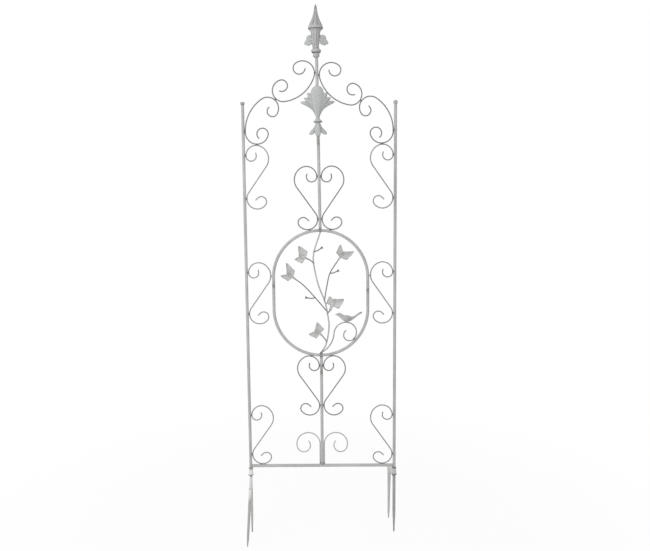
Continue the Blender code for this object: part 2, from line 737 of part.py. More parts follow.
def perch_path(low):
    """Perch from beside the stub's top, its size found by halving so that its curl just clears the ring."""
    bends = ((PERCH_SWEEP_RADIUS, 53), (PERCH_BACK_RADIUS, -104), (PERCH_CURL_RADIUS, -122),
             (PERCH_HOOK_RADIUS, -189))
    reach = RING_HALF_WIDTH - TUBE_RADIUS - WIRE_RADIUS - SEAT_GAP
    small, large = 0.5, 1.5
    for _ in range(30):
        size = (small + large) / 2
        path = trace((PERCH_FOOT_OFFSET, low), 33, [(size * radius, turn) for radius, turn in bends])
        room = (lean_in_arc(path, RING_LOWER_CENTRE, reach) - path)[0, 0]
        small, large = (size, large) if room > 0 else (small, size)
    return lean_in_arc(path, RING_LOWER_CENTRE, reach)


def make_perch(main, low, material, cast, frame):
    path = start_clear_of(perch_path(low), main, WIRE_RADIUS, VINE_DIAMETER / 2)
    wire("perch_scroll", path, WIRE_DIAMETER, material, frame)
    x = path[path[:, 1].argmax(), 0] + BIRD_SETBACK
    make_bird(x, bird_seat(x, dense(path)), cast, frame)


def bird_stations():
    """The bird from beak to tail, as (along, height, half height) in shares of its length and its height."""
    return np.array((
        (-0.474, 1.88, 0.06), (-0.41, 1.90, 0.17), (-0.353, 1.93, 0.42), (-0.313, 1.90, 0.50),
        (-0.254, 1.68, 0.50), (-0.157, 1.18, 0.62), (-0.078, 0.95, 0.83), (0.0, 0.87, 0.87),
        (0.067, 0.87, 0.78), (0.133, 0.90, 0.62), (0.196, 1.01, 0.42), (0.247, 1.15, 0.33),
        (0.333, 1.49, 0.26), (0.396, 1.82, 0.24), (0.529, 2.35, 0.22), (0.584, 2.44, 0.15),
    ))


def bird_seat(x, perch):
    """Height of the bird's base line at which the flats under its belly just clear the perch."""
    along, height, half = bird_stations().T
    top = perch[(np.abs(perch[:, 0] - x) < 0.02) & (perch[:, 1] > perch[:, 1].max() - 0.01)]
    under = np.interp(top[:, 0], x + along * BIRD_LENGTH, (height - half * BIRD_BELLY_FLAT) * BIRD_HEIGHT)
    return (top[:, 1] + WIRE_RADIUS + SEAT_GAP - under).max()


def make_bird(x, z, material, frame):
    """Bird with its belly over x: a tube that swells from beak to breast and thins into a raised tail."""
    along, height, half = bird_stations().T
    path = np.stack([x + along * BIRD_LENGTH, z + height * BIRD_HEIGHT], axis=1)
    bird = wire("bird", path, 2 * BIRD_HEIGHT, material, frame, sides=8, swell=half.tolist())
    bird.scale.y = 0.78


# Castings


def make_plume(material, frame):
    """Tulip, collar and plume cast in one piece."""
    tulip_top = PLUME_BASE + TULIP_HEIGHT
    neck = tulip_top + COLLAR_HEIGHT
    r = COLLAR_DIAMETER / 2
    core = turned((
        (0, PLUME_BASE), (0.0055, PLUME_BASE), (0.0075, PLUME_BASE + 0.010), (0.0068, tulip_top),
        (0.72 * r, tulip_top + 0.001), (r, tulip_top + 0.0025), (r, tulip_top + 0.0050),
        (0.72 * r, neck), (0.0050, neck + 0.004), (0.0045, neck + 0.030), (0, neck + 0.034),
    ), 12)
    casting = lean(mesh_object("plume_casting", core, material, frame))
    united(casting, (plume_fan(neck - 0.003), tulip_fan(tulip_top + 0.002)))


def lobed(v, edges, tips, depths):
    """Height across a row of rounded lobes: each falls from its tip to its two edges."""
    height = np.zeros_like(v)
    crown = np.zeros_like(v)
    for low, high, tip, depth in zip(edges, edges[1:], tips, depths):
        here = (np.abs(v) >= low - 1e-9) & (np.abs(v) <= high + 1e-9)
        middle = 0.0 if low == 0 else (low + high) / 2
        share = np.clip((np.abs(v) - middle) / (high - middle), -1, 1)
        height[here] = (tip - depth * share**2)[here]
        crown[here] = (1 - share**2)[here]
    return height, crown


def plume_fan(base):
    """Seven fingers that rise from the neck and bend outwards, the middle one broad and round."""
    edges = (0, 0.42, 0.70, 0.88, 1.0)
    half = np.array([0, 0.15, 0.28, 0.37, 0.42, 0.49, 0.56, 0.63, 0.70, 0.745, 0.79, 0.835, 0.88, 0.94, 1.0])
    v = np.concatenate([-half[:0:-1], half])[None, :]
    s = np.array([0, 0.22, 0.44, 0.66, 0.84, 0.96, 1.0])[:, None]
    tips = np.array([1.0, 0.76, 0.615, 0.515]) * PLUME_HEIGHT
    depths = np.array([0.27, 0.10, 0.085, 0.05]) * PLUME_HEIGHT
    height, crown = lobed(v, edges, tips, depths)
    x = v * (0.005 + (PLUME_HALF_WIDTH - 0.005) * s**2.3)
    z = base + s * (height + 0.003)
    body = 0.45 + 0.55 * np.sin(np.pi * (0.15 + 0.75 * s))
    half_thickness = PLUME_THICKNESS * body * (0.42 + 0.58 * crown) * (1 - 0.62 * s**8)
    y = -0.006 * s**3 * np.abs(v) + 0 * v
    return plate(x + 0 * s, z, y, half_thickness)


def tulip_fan(base):
    """Three petals that hang below the collar, the outer two flared."""
    edges = (0, 0.38, 1.0)
    half = np.array([0, 0.13, 0.26, 0.38, 0.53, 0.69, 0.85, 1.0])
    v = np.concatenate([-half[:0:-1], half])[None, :]
    s = np.array([0, 0.25, 0.5, 0.75, 0.93, 1.0])[:, None]
    tips = np.array([1.0, 0.84]) * TULIP_HEIGHT
    depths = np.array([0.22, 0.10]) * TULIP_HEIGHT
    height, crown = lobed(v, edges, tips, depths)
    x = v * (0.0075 + (TULIP_HALF_WIDTH - 0.0075) * s**1.6)
    z = base - s * height
    half_thickness = (0.0058 + 0.0035 * np.sin(np.pi * s)) * (0.45 + 0.55 * crown) * (1 - 0.45 * s**6)
    return plate(x + 0 * s, z, 0 * z, half_thickness)


def make_finial(material, frame):
    """Fluted spear on a flared skirt, with two drooping side leaves, a bead and a collar."""
    skirt = FINIAL_SKIRT_RADIUS
    profile = (
        (0, 0), (0.0066, 0), (0.0102, 0.0055), (0.0102, 0.0125), (0.0135, 0.0145), (0.0158, 0.0205),
        (0.0145, 0.0255), (0.0100, 0.0290), (0.0095, 0.0350), (0.0118, 0.0520), (0.0145, 0.0690),
        (0.0150, 0.0765), (0.81 * skirt, 0.0860), (0.92 * skirt, 0.0885), (0.92 * skirt, 0.0895),
        (skirt, 0.0910), (skirt, 0.0925), (0.0182, 0.1060), (0.0130, 0.1180), (0.0095, 0.1297),
        (0.0073, 0.1413), (0.0043, 0.1528), (0.0018, FINIAL_HEIGHT - 0.002), (0, FINIAL_HEIGHT),
    )
    finial = turned([(r, FINIAL_BASE + z) for r, z in profile], 18, spear_flute)
    obj = lean(mesh_object("spear_finial", finial, material, frame))
    united(obj, (finial_leaf(1), finial_leaf(-1)))


def spear_flute(z, angle):
    """Six rounded ribs on the spear and on the stem, none on the bead, the collar and the tip."""
    depth = np.interp(z - FINIAL_BASE, (0.029, 0.036, 0.069, 0.086, 0.0925, 0.106, 0.142, 0.156),
                      (0.0, 0.10, 0.10, 0.0, 0.0, 0.14, 0.14, 0.0))
    return 1 - depth * (0.5 + 0.5 * math.cos(6 * angle))


def finial_leaf(side):
    """Drooping leaf of three fingers, fanned about its root inside the stem."""
    root = (0.0060, FINIAL_BASE + 0.060)
    v = np.array([0, 0.11, 0.22, 0.33, 0.45, 0.57, 0.66, 0.77, 0.89, 1.0])[None, :]
    s = np.array([0.10, 0.45, 0.80, 1.0])[:, None]
    angle = np.radians(60 - 126 * v)
    finger = np.abs(np.sin(3 * np.pi * v))
    reach = FINIAL_LEAF_REACH * np.interp(v, (0, 0.22, 0.42, 0.65, 0.77, 0.85, 1.0),
                                          (0.50, 0.70, 0.76, 0.96, 1.0, 0.90, 0.60))
    reach = reach * (0.92 + 0.08 * finger)
    x = side * (root[0] + s * reach * np.cos(angle))
    z = root[1] + s * reach * np.sin(angle)
    half_thickness = 0.0042 * (0.45 + 0.55 * finger) * (1 - 0.5 * s**4)
    y = -0.002 * s**2 + 0 * v
    return plate(x, z, y, half_thickness + 0 * s)


# Ground forks


def make_socket(name, side, material, frame):
    """Sleeve under the post, flared at its mouth and bored for the stake's spigot."""
    r = SOCKET_DIAMETER / 2
    rim = SOCKET_RIM_DIAMETER / 2
    bore = (SPIGOT_DIAMETER / 2 + SOCKET_RUNNING_GAP) / math.cos(math.pi / 16)
    low = SOCKET_BASE
    high = SOCKET_BASE + SOCKET_HEIGHT
    profile = (
        (bore, low), (rim, low), (rim, low + 0.5 * SOCKET_RIM_HEIGHT), (r, low + SOCKET_RIM_HEIGHT + 0.003),
        (r, high - 0.001), (r - 0.001, high), (bore, high),
    )
    obj = mesh_object(name, turned(profile, 16), material, frame)
    obj.location.x = side * POST_X


def make_fork(name, side, turn, lean, material):
    """Stake with spigot, crossbar and outer prong, built about the swivel axis and pointing to +Y."""
    pivot = empty(f"{name}_foot_pivot", (side * POST_X, 0, 0), turn)
    r = STAKE_DIAMETER / 2
    tip = STAKE_TIP_DIAMETER / 2
    spigot = SPIGOT_DIAMETER / 2
    stake = turned((
        (0, 0), (tip, 0), (tip + 0.0005, 0.003), (r, STAKE_TAPER_LENGTH), (r, STAKE_LENGTH),
        (spigot, STAKE_LENGTH), (spigot, STAKE_LENGTH + SPIGOT_LENGTH - 0.001),
        (spigot - 0.001, STAKE_LENGTH + SPIGOT_LENGTH), (0, STAKE_LENGTH + SPIGOT_LENGTH),
    ), 12)
    mesh_object(f"{name}_stake", stake, material, pivot)
    top = PRONG_TOP_DIAMETER / 2
    bar = turned(rod_profile(CROSSBAR_DIAMETER / 2, r + SEAT_GAP, FORK_REACH - top - SEAT_GAP), 12)
    bmesh.ops.rotate(bar, verts=bar.verts, matrix=Matrix.Rotation(-math.pi / 2, 3, "X"))
    bmesh.ops.translate(bar, verts=bar.verts, vec=(0, 0, CROSSBAR_Z))
    mesh_object(f"{name}_crossbar", bar, material, pivot)
    make_outer_prong(name, lean, material, pivot)


def make_outer_prong(name, lean, material, pivot):
    """Tapered prong at the end of the crossbar: its foot leans aside and ends flat on the ground."""
    top = PRONG_TOP_DIAMETER / 2
    head = CROSSBAR_Z + CROSSBAR_DIAMETER / 2
    prong = turned((
        (0, 0), (PRONG_TIP_DIAMETER / 2, 0), (PRONG_LOW_DIAMETER / 2, PRONG_POINT_LENGTH),
        (top, head - 0.0015), (top - 0.0015, head), (0, head),
    ), 12)
    for vert in prong.verts:
        vert.co.x += lean * (1 - min(vert.co.z / CROSSBAR_Z, 1))
        vert.co.y += FORK_REACH
    mesh_object(f"{name}_outer_prong", prong, material, pivot)


def main():
    clear_scene()
    tube = painted("painted_tube", (0.43, 0.44, 0.43), 0.55)
    bent = painted("painted_wire", (0.42, 0.43, 0.42), 0.55)
    cast = painted("painted_casting", (0.41, 0.45, 0.43), 0.60)
    feet = painted("painted_foot", (0.40, 0.40, 0.39), 0.60)
    frame = empty("frame")
    make_posts(tube, frame)
    make_bottom_bar(tube, frame)
    make_centre_rods(tube, frame)
    make_ring(tube, frame)
    make_side_scrolls(bent, frame)
    make_arch_scrolls(bent, frame)
    make_heart_scrolls(bent, frame)
    make_base_crooks(bent, frame)
    make_vine(bent, cast, frame)
    make_plume(cast, frame)
    make_finial(cast, frame)
    make_socket("left_socket", -1, feet, frame)
    make_socket("right_socket", 1, feet, frame)
    make_fork("left", -1, 180 + LEFT_FORK_TURN, LEFT_PRONG_LEAN, feet)
    make_fork("right", 1, RIGHT_FORK_TURN, RIGHT_PRONG_LEAN, feet)


main()
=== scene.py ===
"""Looks of a garden trellis: round tube, bent wire, ribbed castings and weld beads under old grey paint.

The trellis lies in the XZ plane with its front towards -Y. Sizes are in metres, and in millimetres inside
mm().
"""

import math
from functools import cache
from itertools import combinations

import bpy
import numpy as np
from bpy.props import FloatProperty, FloatVectorProperty, PointerProperty
from mathutils import Matrix, Vector


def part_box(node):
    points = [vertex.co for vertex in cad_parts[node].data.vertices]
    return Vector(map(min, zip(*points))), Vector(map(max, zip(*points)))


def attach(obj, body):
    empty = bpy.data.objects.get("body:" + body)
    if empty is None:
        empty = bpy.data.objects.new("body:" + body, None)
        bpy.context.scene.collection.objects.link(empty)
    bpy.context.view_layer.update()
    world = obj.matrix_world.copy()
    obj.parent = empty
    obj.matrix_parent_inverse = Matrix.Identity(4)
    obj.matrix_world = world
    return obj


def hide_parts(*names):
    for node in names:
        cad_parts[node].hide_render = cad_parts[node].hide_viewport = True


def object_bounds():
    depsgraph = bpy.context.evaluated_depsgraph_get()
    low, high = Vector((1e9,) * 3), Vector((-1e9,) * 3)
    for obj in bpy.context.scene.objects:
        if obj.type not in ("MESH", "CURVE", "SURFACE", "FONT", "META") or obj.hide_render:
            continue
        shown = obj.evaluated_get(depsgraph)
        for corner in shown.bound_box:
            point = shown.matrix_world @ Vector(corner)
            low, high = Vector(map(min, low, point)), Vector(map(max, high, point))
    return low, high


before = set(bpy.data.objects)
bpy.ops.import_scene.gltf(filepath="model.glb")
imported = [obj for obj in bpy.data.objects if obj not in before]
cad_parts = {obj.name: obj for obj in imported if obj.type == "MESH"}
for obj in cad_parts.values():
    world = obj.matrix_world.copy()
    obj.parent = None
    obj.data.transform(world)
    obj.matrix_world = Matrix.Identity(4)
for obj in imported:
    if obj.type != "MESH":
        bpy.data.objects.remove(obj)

bl_info = {
    "name": "Garden trellis looks",
    "version": (1, 0, 0),
    "blender": (4, 5, 0),
    "location": "3D View > Sidebar > Trellis",
    "description": "Smooth tube and wire, ribbed castings, weld beads and old paint for a garden trellis",
    "category": "Object",
}

CAD_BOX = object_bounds()
SIDES = (("left", -1), ("right", 1))
SEAT_GAP = 0.0003  # between a casting and the rod that carries it
TOUCH_GAP = 0.0014  # two lines closer than this count as welded
EASED_END = 0.0006  # length of the eased edge at a bar's end
SHARP_EDGE = math.radians(50)
JOINT_WASH = 0.70  # strength of the dark wash round a joint
HIGHLIGHT_RISE = (0.150, 0.186)  # heights between which the paint gives way to the near-white painted highlight
WHITE = (1.0, 1.0, 1.0, 1.0)


def span(node, axis):
    """Lowest and highest place of a CAD node along one axis."""
    low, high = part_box(node)
    return low[axis], high[axis]


def middle(node):
    """Middle of a CAD node's box, as (x, y, z)."""
    low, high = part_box(node)
    return np.array((low + high) / 2)


def thickness(node, axis):
    """How far a CAD node reaches along one axis."""
    low, high = span(node, axis)
    return high - low


def mm(rows):
    """Rows of millimetres in metres."""
    return np.array(rows, float) * 0.001


# Sizes and colours


def length(name, description, default, soft_max=0.2):
    """A length of at least 0, in the scene's unit."""
    return FloatProperty(name=name, description=description, default=default, min=0.0, soft_max=soft_max,
                         unit="LENGTH", precision=4)


def share(name, description, default):
    """A share from 0 to 2 of another size."""
    return FloatProperty(name=name, description=description, default=default, min=0.0, max=2.0,
                         subtype="FACTOR")


def colour(name, description, default):
    """A colour as red, green and blue from 0 to 1."""
    return FloatVectorProperty(name=name, description=description, default=default, size=3, min=0.0, max=1.0,
                               subtype="COLOR")


class TrellisSizes(bpy.types.PropertyGroup):
    """Sizes of the tube, the wire and the castings"""

    tube: length("Tube", "Diameter of the posts, the centre rod and the ring", 0.010)
    bar: length("Bar", "Side of the square bar at the foot", 0.010)
    wire: length("Scroll wire", "Diameter of the bent scrolls", 0.004)
    stem: length("Vine stem", "Diameter of the vine's main stem", 0.005)
    twig: length("Bud twig", "Diameter of the bud twigs", 0.0042)
    hook: length("Scroll hook", "Radius of the hook inside a scroll's curl", 0.0167)
    curl: length("Scroll curl", "Radius of a scroll's curl", 0.0335)
    shoulder: length("Scroll shoulder", "Radius where a scroll's curl runs into its diagonal", 0.0440)
    diagonal: length("Scroll diagonal", "Straight length between a scroll's two curls", 0.1020)
    lean: FloatProperty(name="Upper lean", description="Lean to the left of the rod above the ring",
                        default=math.radians(0.65), subtype="ANGLE")
    weld: length("Weld bead", "Half length of the weld bead at a joint", 0.0030, 0.01)
    bevel: share("Cut end", "Rounding of a cut wire end, as a share of its radius", 0.45)
    blade_edge: length("Leaf edge", "Thickness of a leaf blade at its edge", 0.0014, 0.01)
    flute: share("Flute depth", "Depth of the grooves in the spear and its stem", 0.16)
    rib: share("Rib depth", "Depth of the grooves along the plume's fingers", 0.22)


class TrellisColours(bpy.types.PropertyGroup):
    """Colours of the paint and of the stage"""

    tube: colour("Tube paint", "Paint on the posts, the rod and the ring", (0.465, 0.470, 0.462))
    wire: colour("Wire paint", "Paint on the side scrolls, the perch and the twigs", (0.322, 0.326, 0.320))
    dark_wire: colour("Dark wire paint", "Paint on hearts, arches and branches", (0.222, 0.224, 0.220))
    casting: colour("Casting paint", "Paint on the plume, the tulip and the bird", (0.492, 0.512, 0.505))
    leaf: colour("Leaf paint", "Paint on the leaves", (0.575, 0.580, 0.570))
    spear: colour("Spear paint", "Paint on the spear and its stem", (0.440, 0.440, 0.450))
    foot: colour("Foot paint", "Paint on the ground forks", (0.460, 0.458, 0.450))
    # Near-white painted highlight, for light from above on the sockets and on the heads of the forks.
    painted_highlight: colour("Highlight", "Bright zinc on the sockets and on the heads of the forks", (0.82, 0.82, 0.81))
    # Dark colour of the wash round joints and of the painted shade in grooves, under rims and down the
    # right-hand side.
    wash_and_shade: colour("Wash", "Dark wash that lies in grooves and round joints", (0.120, 0.122, 0.118))
    primer: colour("Primer", "Primer that shows where the paint is thin", (0.200, 0.168, 0.160))
    floor: colour("Floor", "Floor under the trellis", (0.90, 0.90, 0.90))


def sizes():
    """The sizes set in the scene."""
    return bpy.context.scene.trellis_sizes


def colours():
    """The colours set in the scene."""
    return bpy.context.scene.trellis_colours


# Paths, as rows of (x, z) or (x, y, z)


def unit(rows):
    """Each row over its own length."""
    return rows / np.linalg.norm(rows, axis=-1, keepdims=True)


def ticks(path):
    """Distance walked along a path up to each of its points."""
    steps = np.linalg.norm(np.diff(path, axis=0), axis=1)
    return np.concatenate([[0.0], np.cumsum(steps)])


def places(path, walked):
    """The points of a path at the given distances along it."""
    marks = ticks(path)
    return np.stack([np.interp(walked, marks, column) for column in path.T], axis=1)


def arc_path(heading, moves, spacing=0.0016):
    """Arcs and straight lengths end to end. A move is (radius, degrees), left turns positive. Its points are
    centre + radius (sin t, -cos t) while t runs from the heading through the turn. Radius 0 is a straight
    length."""
    at = np.zeros(2)
    angle = math.radians(heading)
    runs = [at[None]]
    for radius, amount in moves:
        if radius == 0:
            walked = np.linspace(0, amount, max(3, int(amount / spacing)))[1:, None]
            run = at + walked * np.array([math.cos(angle), math.sin(angle)])
        else:
            side = math.copysign(1.0, amount)
            centre = at + radius * side * np.array([-math.sin(angle), math.cos(angle)])
            turn = math.radians(amount)
            t = angle + turn * np.linspace(0, 1, max(6, int(abs(turn) * radius / spacing)))[1:]
            run = centre + radius * side * np.stack([np.sin(t), -np.cos(t)], axis=1)
            angle += turn
        runs.append(run)
        at = run[-1]
    return np.concatenate(runs)


def curve_path(points, steps=12):
    """Catmull-Rom curve, all its stretches at once. Between b and c, with neighbours a and d, a point is half
    of 2b + (c - a) t + (2a - 5b + 4c - d) t^2 + (3b - a - 3c + d) t^3."""
    knots = np.asarray(points, float)
    a = np.vstack([2 * knots[0] - knots[1], knots[:-2]])[:, None]
    b, c = knots[:-1][:, None], knots[1:][:, None]
    d = np.vstack([knots[2:], 2 * knots[-1] - knots[-2]])[:, None]
    t = (np.arange(steps) / steps)[None, :, None]
    runs = 0.5 * (2 * b + (c - a) * t + (2 * a - 5 * b + 4 * c - d) * t**2 + (3 * b - a - 3 * c + d) * t**3)
    return np.vstack([runs.reshape(-1, knots.shape[1]), knots[-1]])


def bowed(root, bend, tip, steps=24):
    """Quadratic curve (1-t)^2 root + 2t(1-t) bend + t^2 tip."""
    t = np.linspace(0, 1, steps)[:, None]
    root, bend, tip = np.array((root, bend, tip), float)
    return (1 - t) ** 2 * root + 2 * t * (1 - t) * bend + t**2 * tip


def mirrored(path, side):
    """A path with its x times the side, which is 1 or -1."""
    return path * np.array([side, 1.0])


def in_box(path, node):
    """Slide a path in X and Z until the middle of its box is the middle of the node's box."""
    return path + middle(node)[[0, 2]] - (path.min(0) + path.max(0)) / 2


def leaned(points):
    """Points turned about the ring's top by the upper lean. With d the height above it, a point goes to
    x cos a - d sin a across and x sin a + d cos a up."""
    a, top = sizes().lean, half_ring()[1]
    made = np.array(points, float)
    x, rise = np.array(made[..., 0]), made[..., -1] - top
    made[..., 0] = x * math.cos(a) - rise * math.sin(a)
    made[..., -1] = top + x * math.sin(a) + rise * math.cos(a)
    return made


# Surfaces, as rings of points: an array of (rows, sides, 3)


def around(sides):
    """Even angles round a section."""
    return 2 * np.pi * np.arange(sides) / sides


def hump(values, centre, width):
    """1 at the centre, falling to each side as exp of minus the squared distance over the width."""
    return np.exp(-(((values - centre) / width) ** 2))


def tube(path, across, deep=None, sides=16, facing=(0.0, 1.0, 0.0), relief=None):
    """Rings round a path. A ring is centre + across cos(a) w + deep relief sin(a) v, where v is the facing
    vector made square to the path and w is square to both."""
    if path.shape[1] == 2:
        path = np.insert(path, 1, 0.0, axis=1)
    along = unit(np.gradient(path, axis=0))
    facing = np.asarray(facing, float)
    v = unit(facing - (along @ facing)[:, None] * along)
    w = np.cross(v, along)
    a = around(sides)
    across = np.broadcast_to(across, len(path))[:, None]
    deep = across if deep is None else np.broadcast_to(deep, len(path))[:, None]
    if relief is not None:
        deep = deep * relief
    flat = (across * np.cos(a))[..., None] * w[:, None]
    return path[:, None] + flat + (deep * np.sin(a))[..., None] * v[:, None]


def wire(path, radius, sides=14, spacing=0.0016, swell=None):
    """Round wire along a path. Near a cut end its radius falls by a quarter circle of the bevel's size."""
    total = ticks(path)[-1]
    bevel = sizes().bevel * radius
    q = np.linspace(0, np.pi / 2, 5)
    lead = bevel * (1 - np.cos(q))
    inner = np.linspace(bevel, total - bevel, max(4, int(total / spacing)))[1:-1]
    walked = np.concatenate([lead, inner, total - lead[::-1]])
    fall = np.concatenate([bevel * (1 - np.sin(q)), np.zeros(len(inner)), bevel * (1 - np.sin(q[::-1]))])
    grown = 1.0 if swell is None else swell(walked / total)
    return tube(places(path, walked), (radius - fall) * grown, sides=sides)


def lathe(profile, x=0.0, sides=40, flute=None):
    """Surface of revolution about an upright axis at x: radius(z) times (cos a, sin a). flute(z, a) scales
    the radius of each point."""
    radius, z = profile.T[..., None]
    a = around(sides)
    r = radius * (1.0 if flute is None else flute(z, a))
    return np.stack([x + r * np.cos(a), r * np.sin(a), z + 0 * a], axis=2)


def turned(points, steps=5):
    """A lathe profile of (radius, z) eased into a curve."""
    return np.clip(curve_path(points, steps), (1e-5, -9), (9, 9))


def level_bar(start, end, section, count, eased):
    """Level bar from start to end. Its section, in rows of (across, up), shrinks to the eased share at each
    end."""
    start, end = np.array((start, end), float)
    reach = np.linalg.norm(end - start)
    walked = np.concatenate([[0, EASED_END], np.linspace(0, reach, count)[1:-1], [reach - EASED_END, reach]])
    ease = np.ones((len(walked), 1, 1))
    ease[[0, -1]] = eased
    along = (end - start) / reach
    axes = np.array([np.cross((0, 0, 1), along), (0, 0, 1)])
    return (start + walked[:, None] * along)[:, None] + ease * (section @ axes)


def circle(angles, radius):
    """Points radius (cos a, sin a)."""
    return radius * np.stack([np.cos(angles), np.sin(angles)], axis=1)


def bead(centre, along, lengths):
    """Lump of weld along the joint. While q runs from end to end, its girth follows the square root of
    1 - q^2, with a ripple of 7 % that follows the cosine of 9 q."""
    q = np.linspace(-0.97, 0.97, 7)
    girth = np.sqrt(1 - q**2) * (1 + 0.07 * np.cos(9 * q + 40 * centre[0]))
    path = np.asarray(centre) + q[:, None] * lengths[0] * np.asarray(along)
    return tube(path, lengths[1] * girth, lengths[2] * girth, 10)


def finger(path, half_width, depth, neck=0.3, sides=20, ribs=2, pointed=0.0, wide_at=0.72):
    """Finger of a casting along a path. Its half width grows from the neck's share to the whole at wide_at,
    then closes in an ellipse, or in a point. Grooves along its face follow the cosine of the distance across
    it. Returns the rings, and how deep each point lies in a groove."""
    t = 0.5 - 0.5 * np.cos(np.pi * np.linspace(0.0, 0.985, 22))
    path = places(path, t * ticks(path)[-1])
    rise = np.clip(t / wide_at, 0, 1)
    grow = neck + (1 - neck) * rise * rise * (3 - 2 * rise)
    fade = np.clip((t - wide_at) / (1 - wide_at), 0, 1)
    close = (1 - pointed) * np.sqrt(1 - fade**2) + pointed * (1 - fade) ** 0.8
    across = np.cos(around(sides))
    rib = sizes().rib
    groove = rib * (0.5 - 0.5 * np.cos(2 * np.pi * ribs * across + np.pi * (ribs % 2)))
    groove = groove * (np.abs(across) < 0.97) * np.sin(np.pi * np.clip(t, 0.03, 0.97))[:, None] ** 0.5
    deep = depth * (0.5 + 0.5 * grow) * close**0.6
    rings = tube(path, half_width * grow * close, deep, sides, relief=1 - groove)
    # The groove depth is what the callers paint as shade in the grooves.
    return rings, groove / max(rib, 1e-6) * 0.6


class Shell:
    """Gathers closed surfaces into one mesh, and turns the faces of each one outwards."""

    def __init__(self):
        self.points, self.faces, self.shade = [], [], []
        self.count = 0

    def add(self, rings, shade=0.0):
        """Join neighbouring rings with quads, and close each end ring with a fan to its own middle."""
        rows, sides, _ = rings.shape
        points = np.vstack([rings.reshape(-1, 3), rings[0].mean(0), rings[-1].mean(0)])
        ids = np.arange(rows * sides).reshape(rows, sides)
        after = np.roll(ids, -1, axis=1)
        quads = np.stack([ids[:-1], after[:-1], after[1:], ids[1:]], axis=2).reshape(-1, 4)
        low = np.stack([after[0], ids[0], np.full(sides, rows * sides)], axis=1)
        high = np.stack([ids[-1], after[-1], np.full(sides, rows * sides + 1)], axis=1)
        fans = np.vstack([low, high])
        triangles = np.vstack([quads[:, :3], quads[:, [0, 2, 3]], fans])
        a, b, c = (points - points.mean(0))[triangles.T]
        if (a * np.cross(b, c)).sum() < 0:
            quads, fans = quads[:, ::-1], fans[:, ::-1]
        shade = np.broadcast_to(shade, (rows, sides))
        self.points.append(points)
        self.shade.append(np.concatenate([shade.ravel(), [shade[0].mean(), shade[-1].mean()]]))
        self.faces += (quads + self.count).tolist() + (fans + self.count).tolist()
        self.count += len(points)
        return self

    def leaned(self):
        """The same shell with the upper rod's lean."""
        self.points = [leaned(points) for points in self.points]
        return self


def fall_off(points, spots):
    """How near each point is to the nearest spot (x, z, reach): exp of minus the square of the distance over
    the reach."""
    spots = np.asarray(spots, float)
    away = np.linalg.norm(points[:, None, [0, 2]] - spots[None, :, :2], axis=2) / spots[None, :, 2]
    return np.exp(-away.min(1) ** 2)


def piece(name, shell, paint, nodes=(), body="frame"):
    """Put a shell into the scene as a piece that rides on a body and stands for its CAD nodes. It keeps two
    numbers at each point: shade, the painted shade in grooves and under rims along with other dark marks such
    as the wash round joints, and primer, for thin paint."""
    points = np.vstack(shell.points)
    mesh = bpy.data.meshes.new(name)
    mesh.from_pydata(points.tolist(), [], shell.faces)
    shade = np.maximum(np.concatenate(shell.shade), JOINT_WASH * fall_off(points, joint_spots()))
    for label, values in (("shade", shade), ("primer", fall_off(points, primer_spots()))):
        mesh.attributes.new(label, "FLOAT", "POINT").data.foreach_set("value", values.astype(np.float32))
    mesh.shade_smooth()
    mesh.set_sharp_from_angle(angle=SHARP_EDGE)
    mesh.materials.append(paint_for(paint))
    obj = placed(name, mesh)
    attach(obj, body)
    if nodes:
        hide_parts(*nodes)


def placed(name, data):
    """A new object in the scene."""
    obj = bpy.data.objects.new(name, data)
    bpy.context.scene.collection.objects.link(obj)
    return obj


# Shader sums


class Number:
    """Wraps a number socket, so that a sum written in Python becomes Math nodes."""

    def __init__(self, paint, socket):
        self.paint, self.socket = paint, socket

    def sum(self, operation, other, clamp=False):
        """One Math node on this number and another, held between 0 and 1 if clamp says so."""
        made = self.paint.add("ShaderNodeMath", {0: self, 1: other}, operation=operation, use_clamp=clamp)
        return Number(self.paint, made.outputs[0])

    def __add__(self, other):
        return self.sum("ADD", other)

    def __sub__(self, other):
        return self.sum("SUBTRACT", other)

    def __rsub__(self, other):
        return self * -1.0 + other

    def __mul__(self, other):
        return self.sum("MULTIPLY", other)

    __radd__ = __add__
    __rmul__ = __mul__

    def kept(self):
        """Held between 0 and 1."""
        return self.sum("ADD", 0.0, clamp=True)

    def step(self, low, high):
        """Rises smoothly from 0 at low to 1 at high."""
        made = self.paint.add("ShaderNodeMapRange", {0: self, 1: low, 2: high},
                              interpolation_type="SMOOTHSTEP")
        return Number(self.paint, made.outputs[0])


class Paint:
    """The nodes of a material or of the world, while they are made."""

    def __init__(self, owner):
        owner.use_nodes = True
        self.tree = owner.node_tree
        self.tree.nodes.clear()

    def add(self, kind, inputs=None, **settings):
        """Add a node: its settings first, then a value or a link for each socket named or numbered."""
        made = self.tree.nodes.new(kind)
        for label, value in settings.items():
            setattr(made, label, value)
        for label, value in (inputs or {}).items():
            value = value.socket if isinstance(value, Number) else value
            if isinstance(value, bpy.types.NodeSocket):
                self.tree.links.new(value, made.inputs[label])
            else:
                made.inputs[label].default_value = value
        return made

    def noise(self, where, scale, detail=3.0, rough=0.55, stretch=None):
        """Cloudy pattern on Object coordinates, drawn out where stretch says so."""
        if stretch is not None:
            where = self.add("ShaderNodeMapping", {"Vector": where, "Scale": stretch}).outputs[0]
        made = self.add("ShaderNodeTexNoise", {"Vector": where, "Scale": scale, "Detail": detail,
                                               "Roughness": rough})
        return Number(self, made.outputs["Fac"])

    def kept_number(self, label):
        """A number kept at the mesh's points."""
        return Number(self, self.add("ShaderNodeAttribute", attribute_name=label).outputs["Fac"])

    def blend(self, factor, first, second):
        """Colour mixed from first to second."""
        return self.add("ShaderNodeMix", {0: factor, 6: first, 7: second}, data_type="RGBA").outputs[2]

    def object_place(self):
        """Object coordinates."""
        return self.add("ShaderNodeTexCoord").outputs["Object"]


def rgba(colour, level=1.0):
    """A colour times a level, each part at most 1, and wholly opaque."""
    return (*(min(1.0, c * level) for c in colour), 1.0)


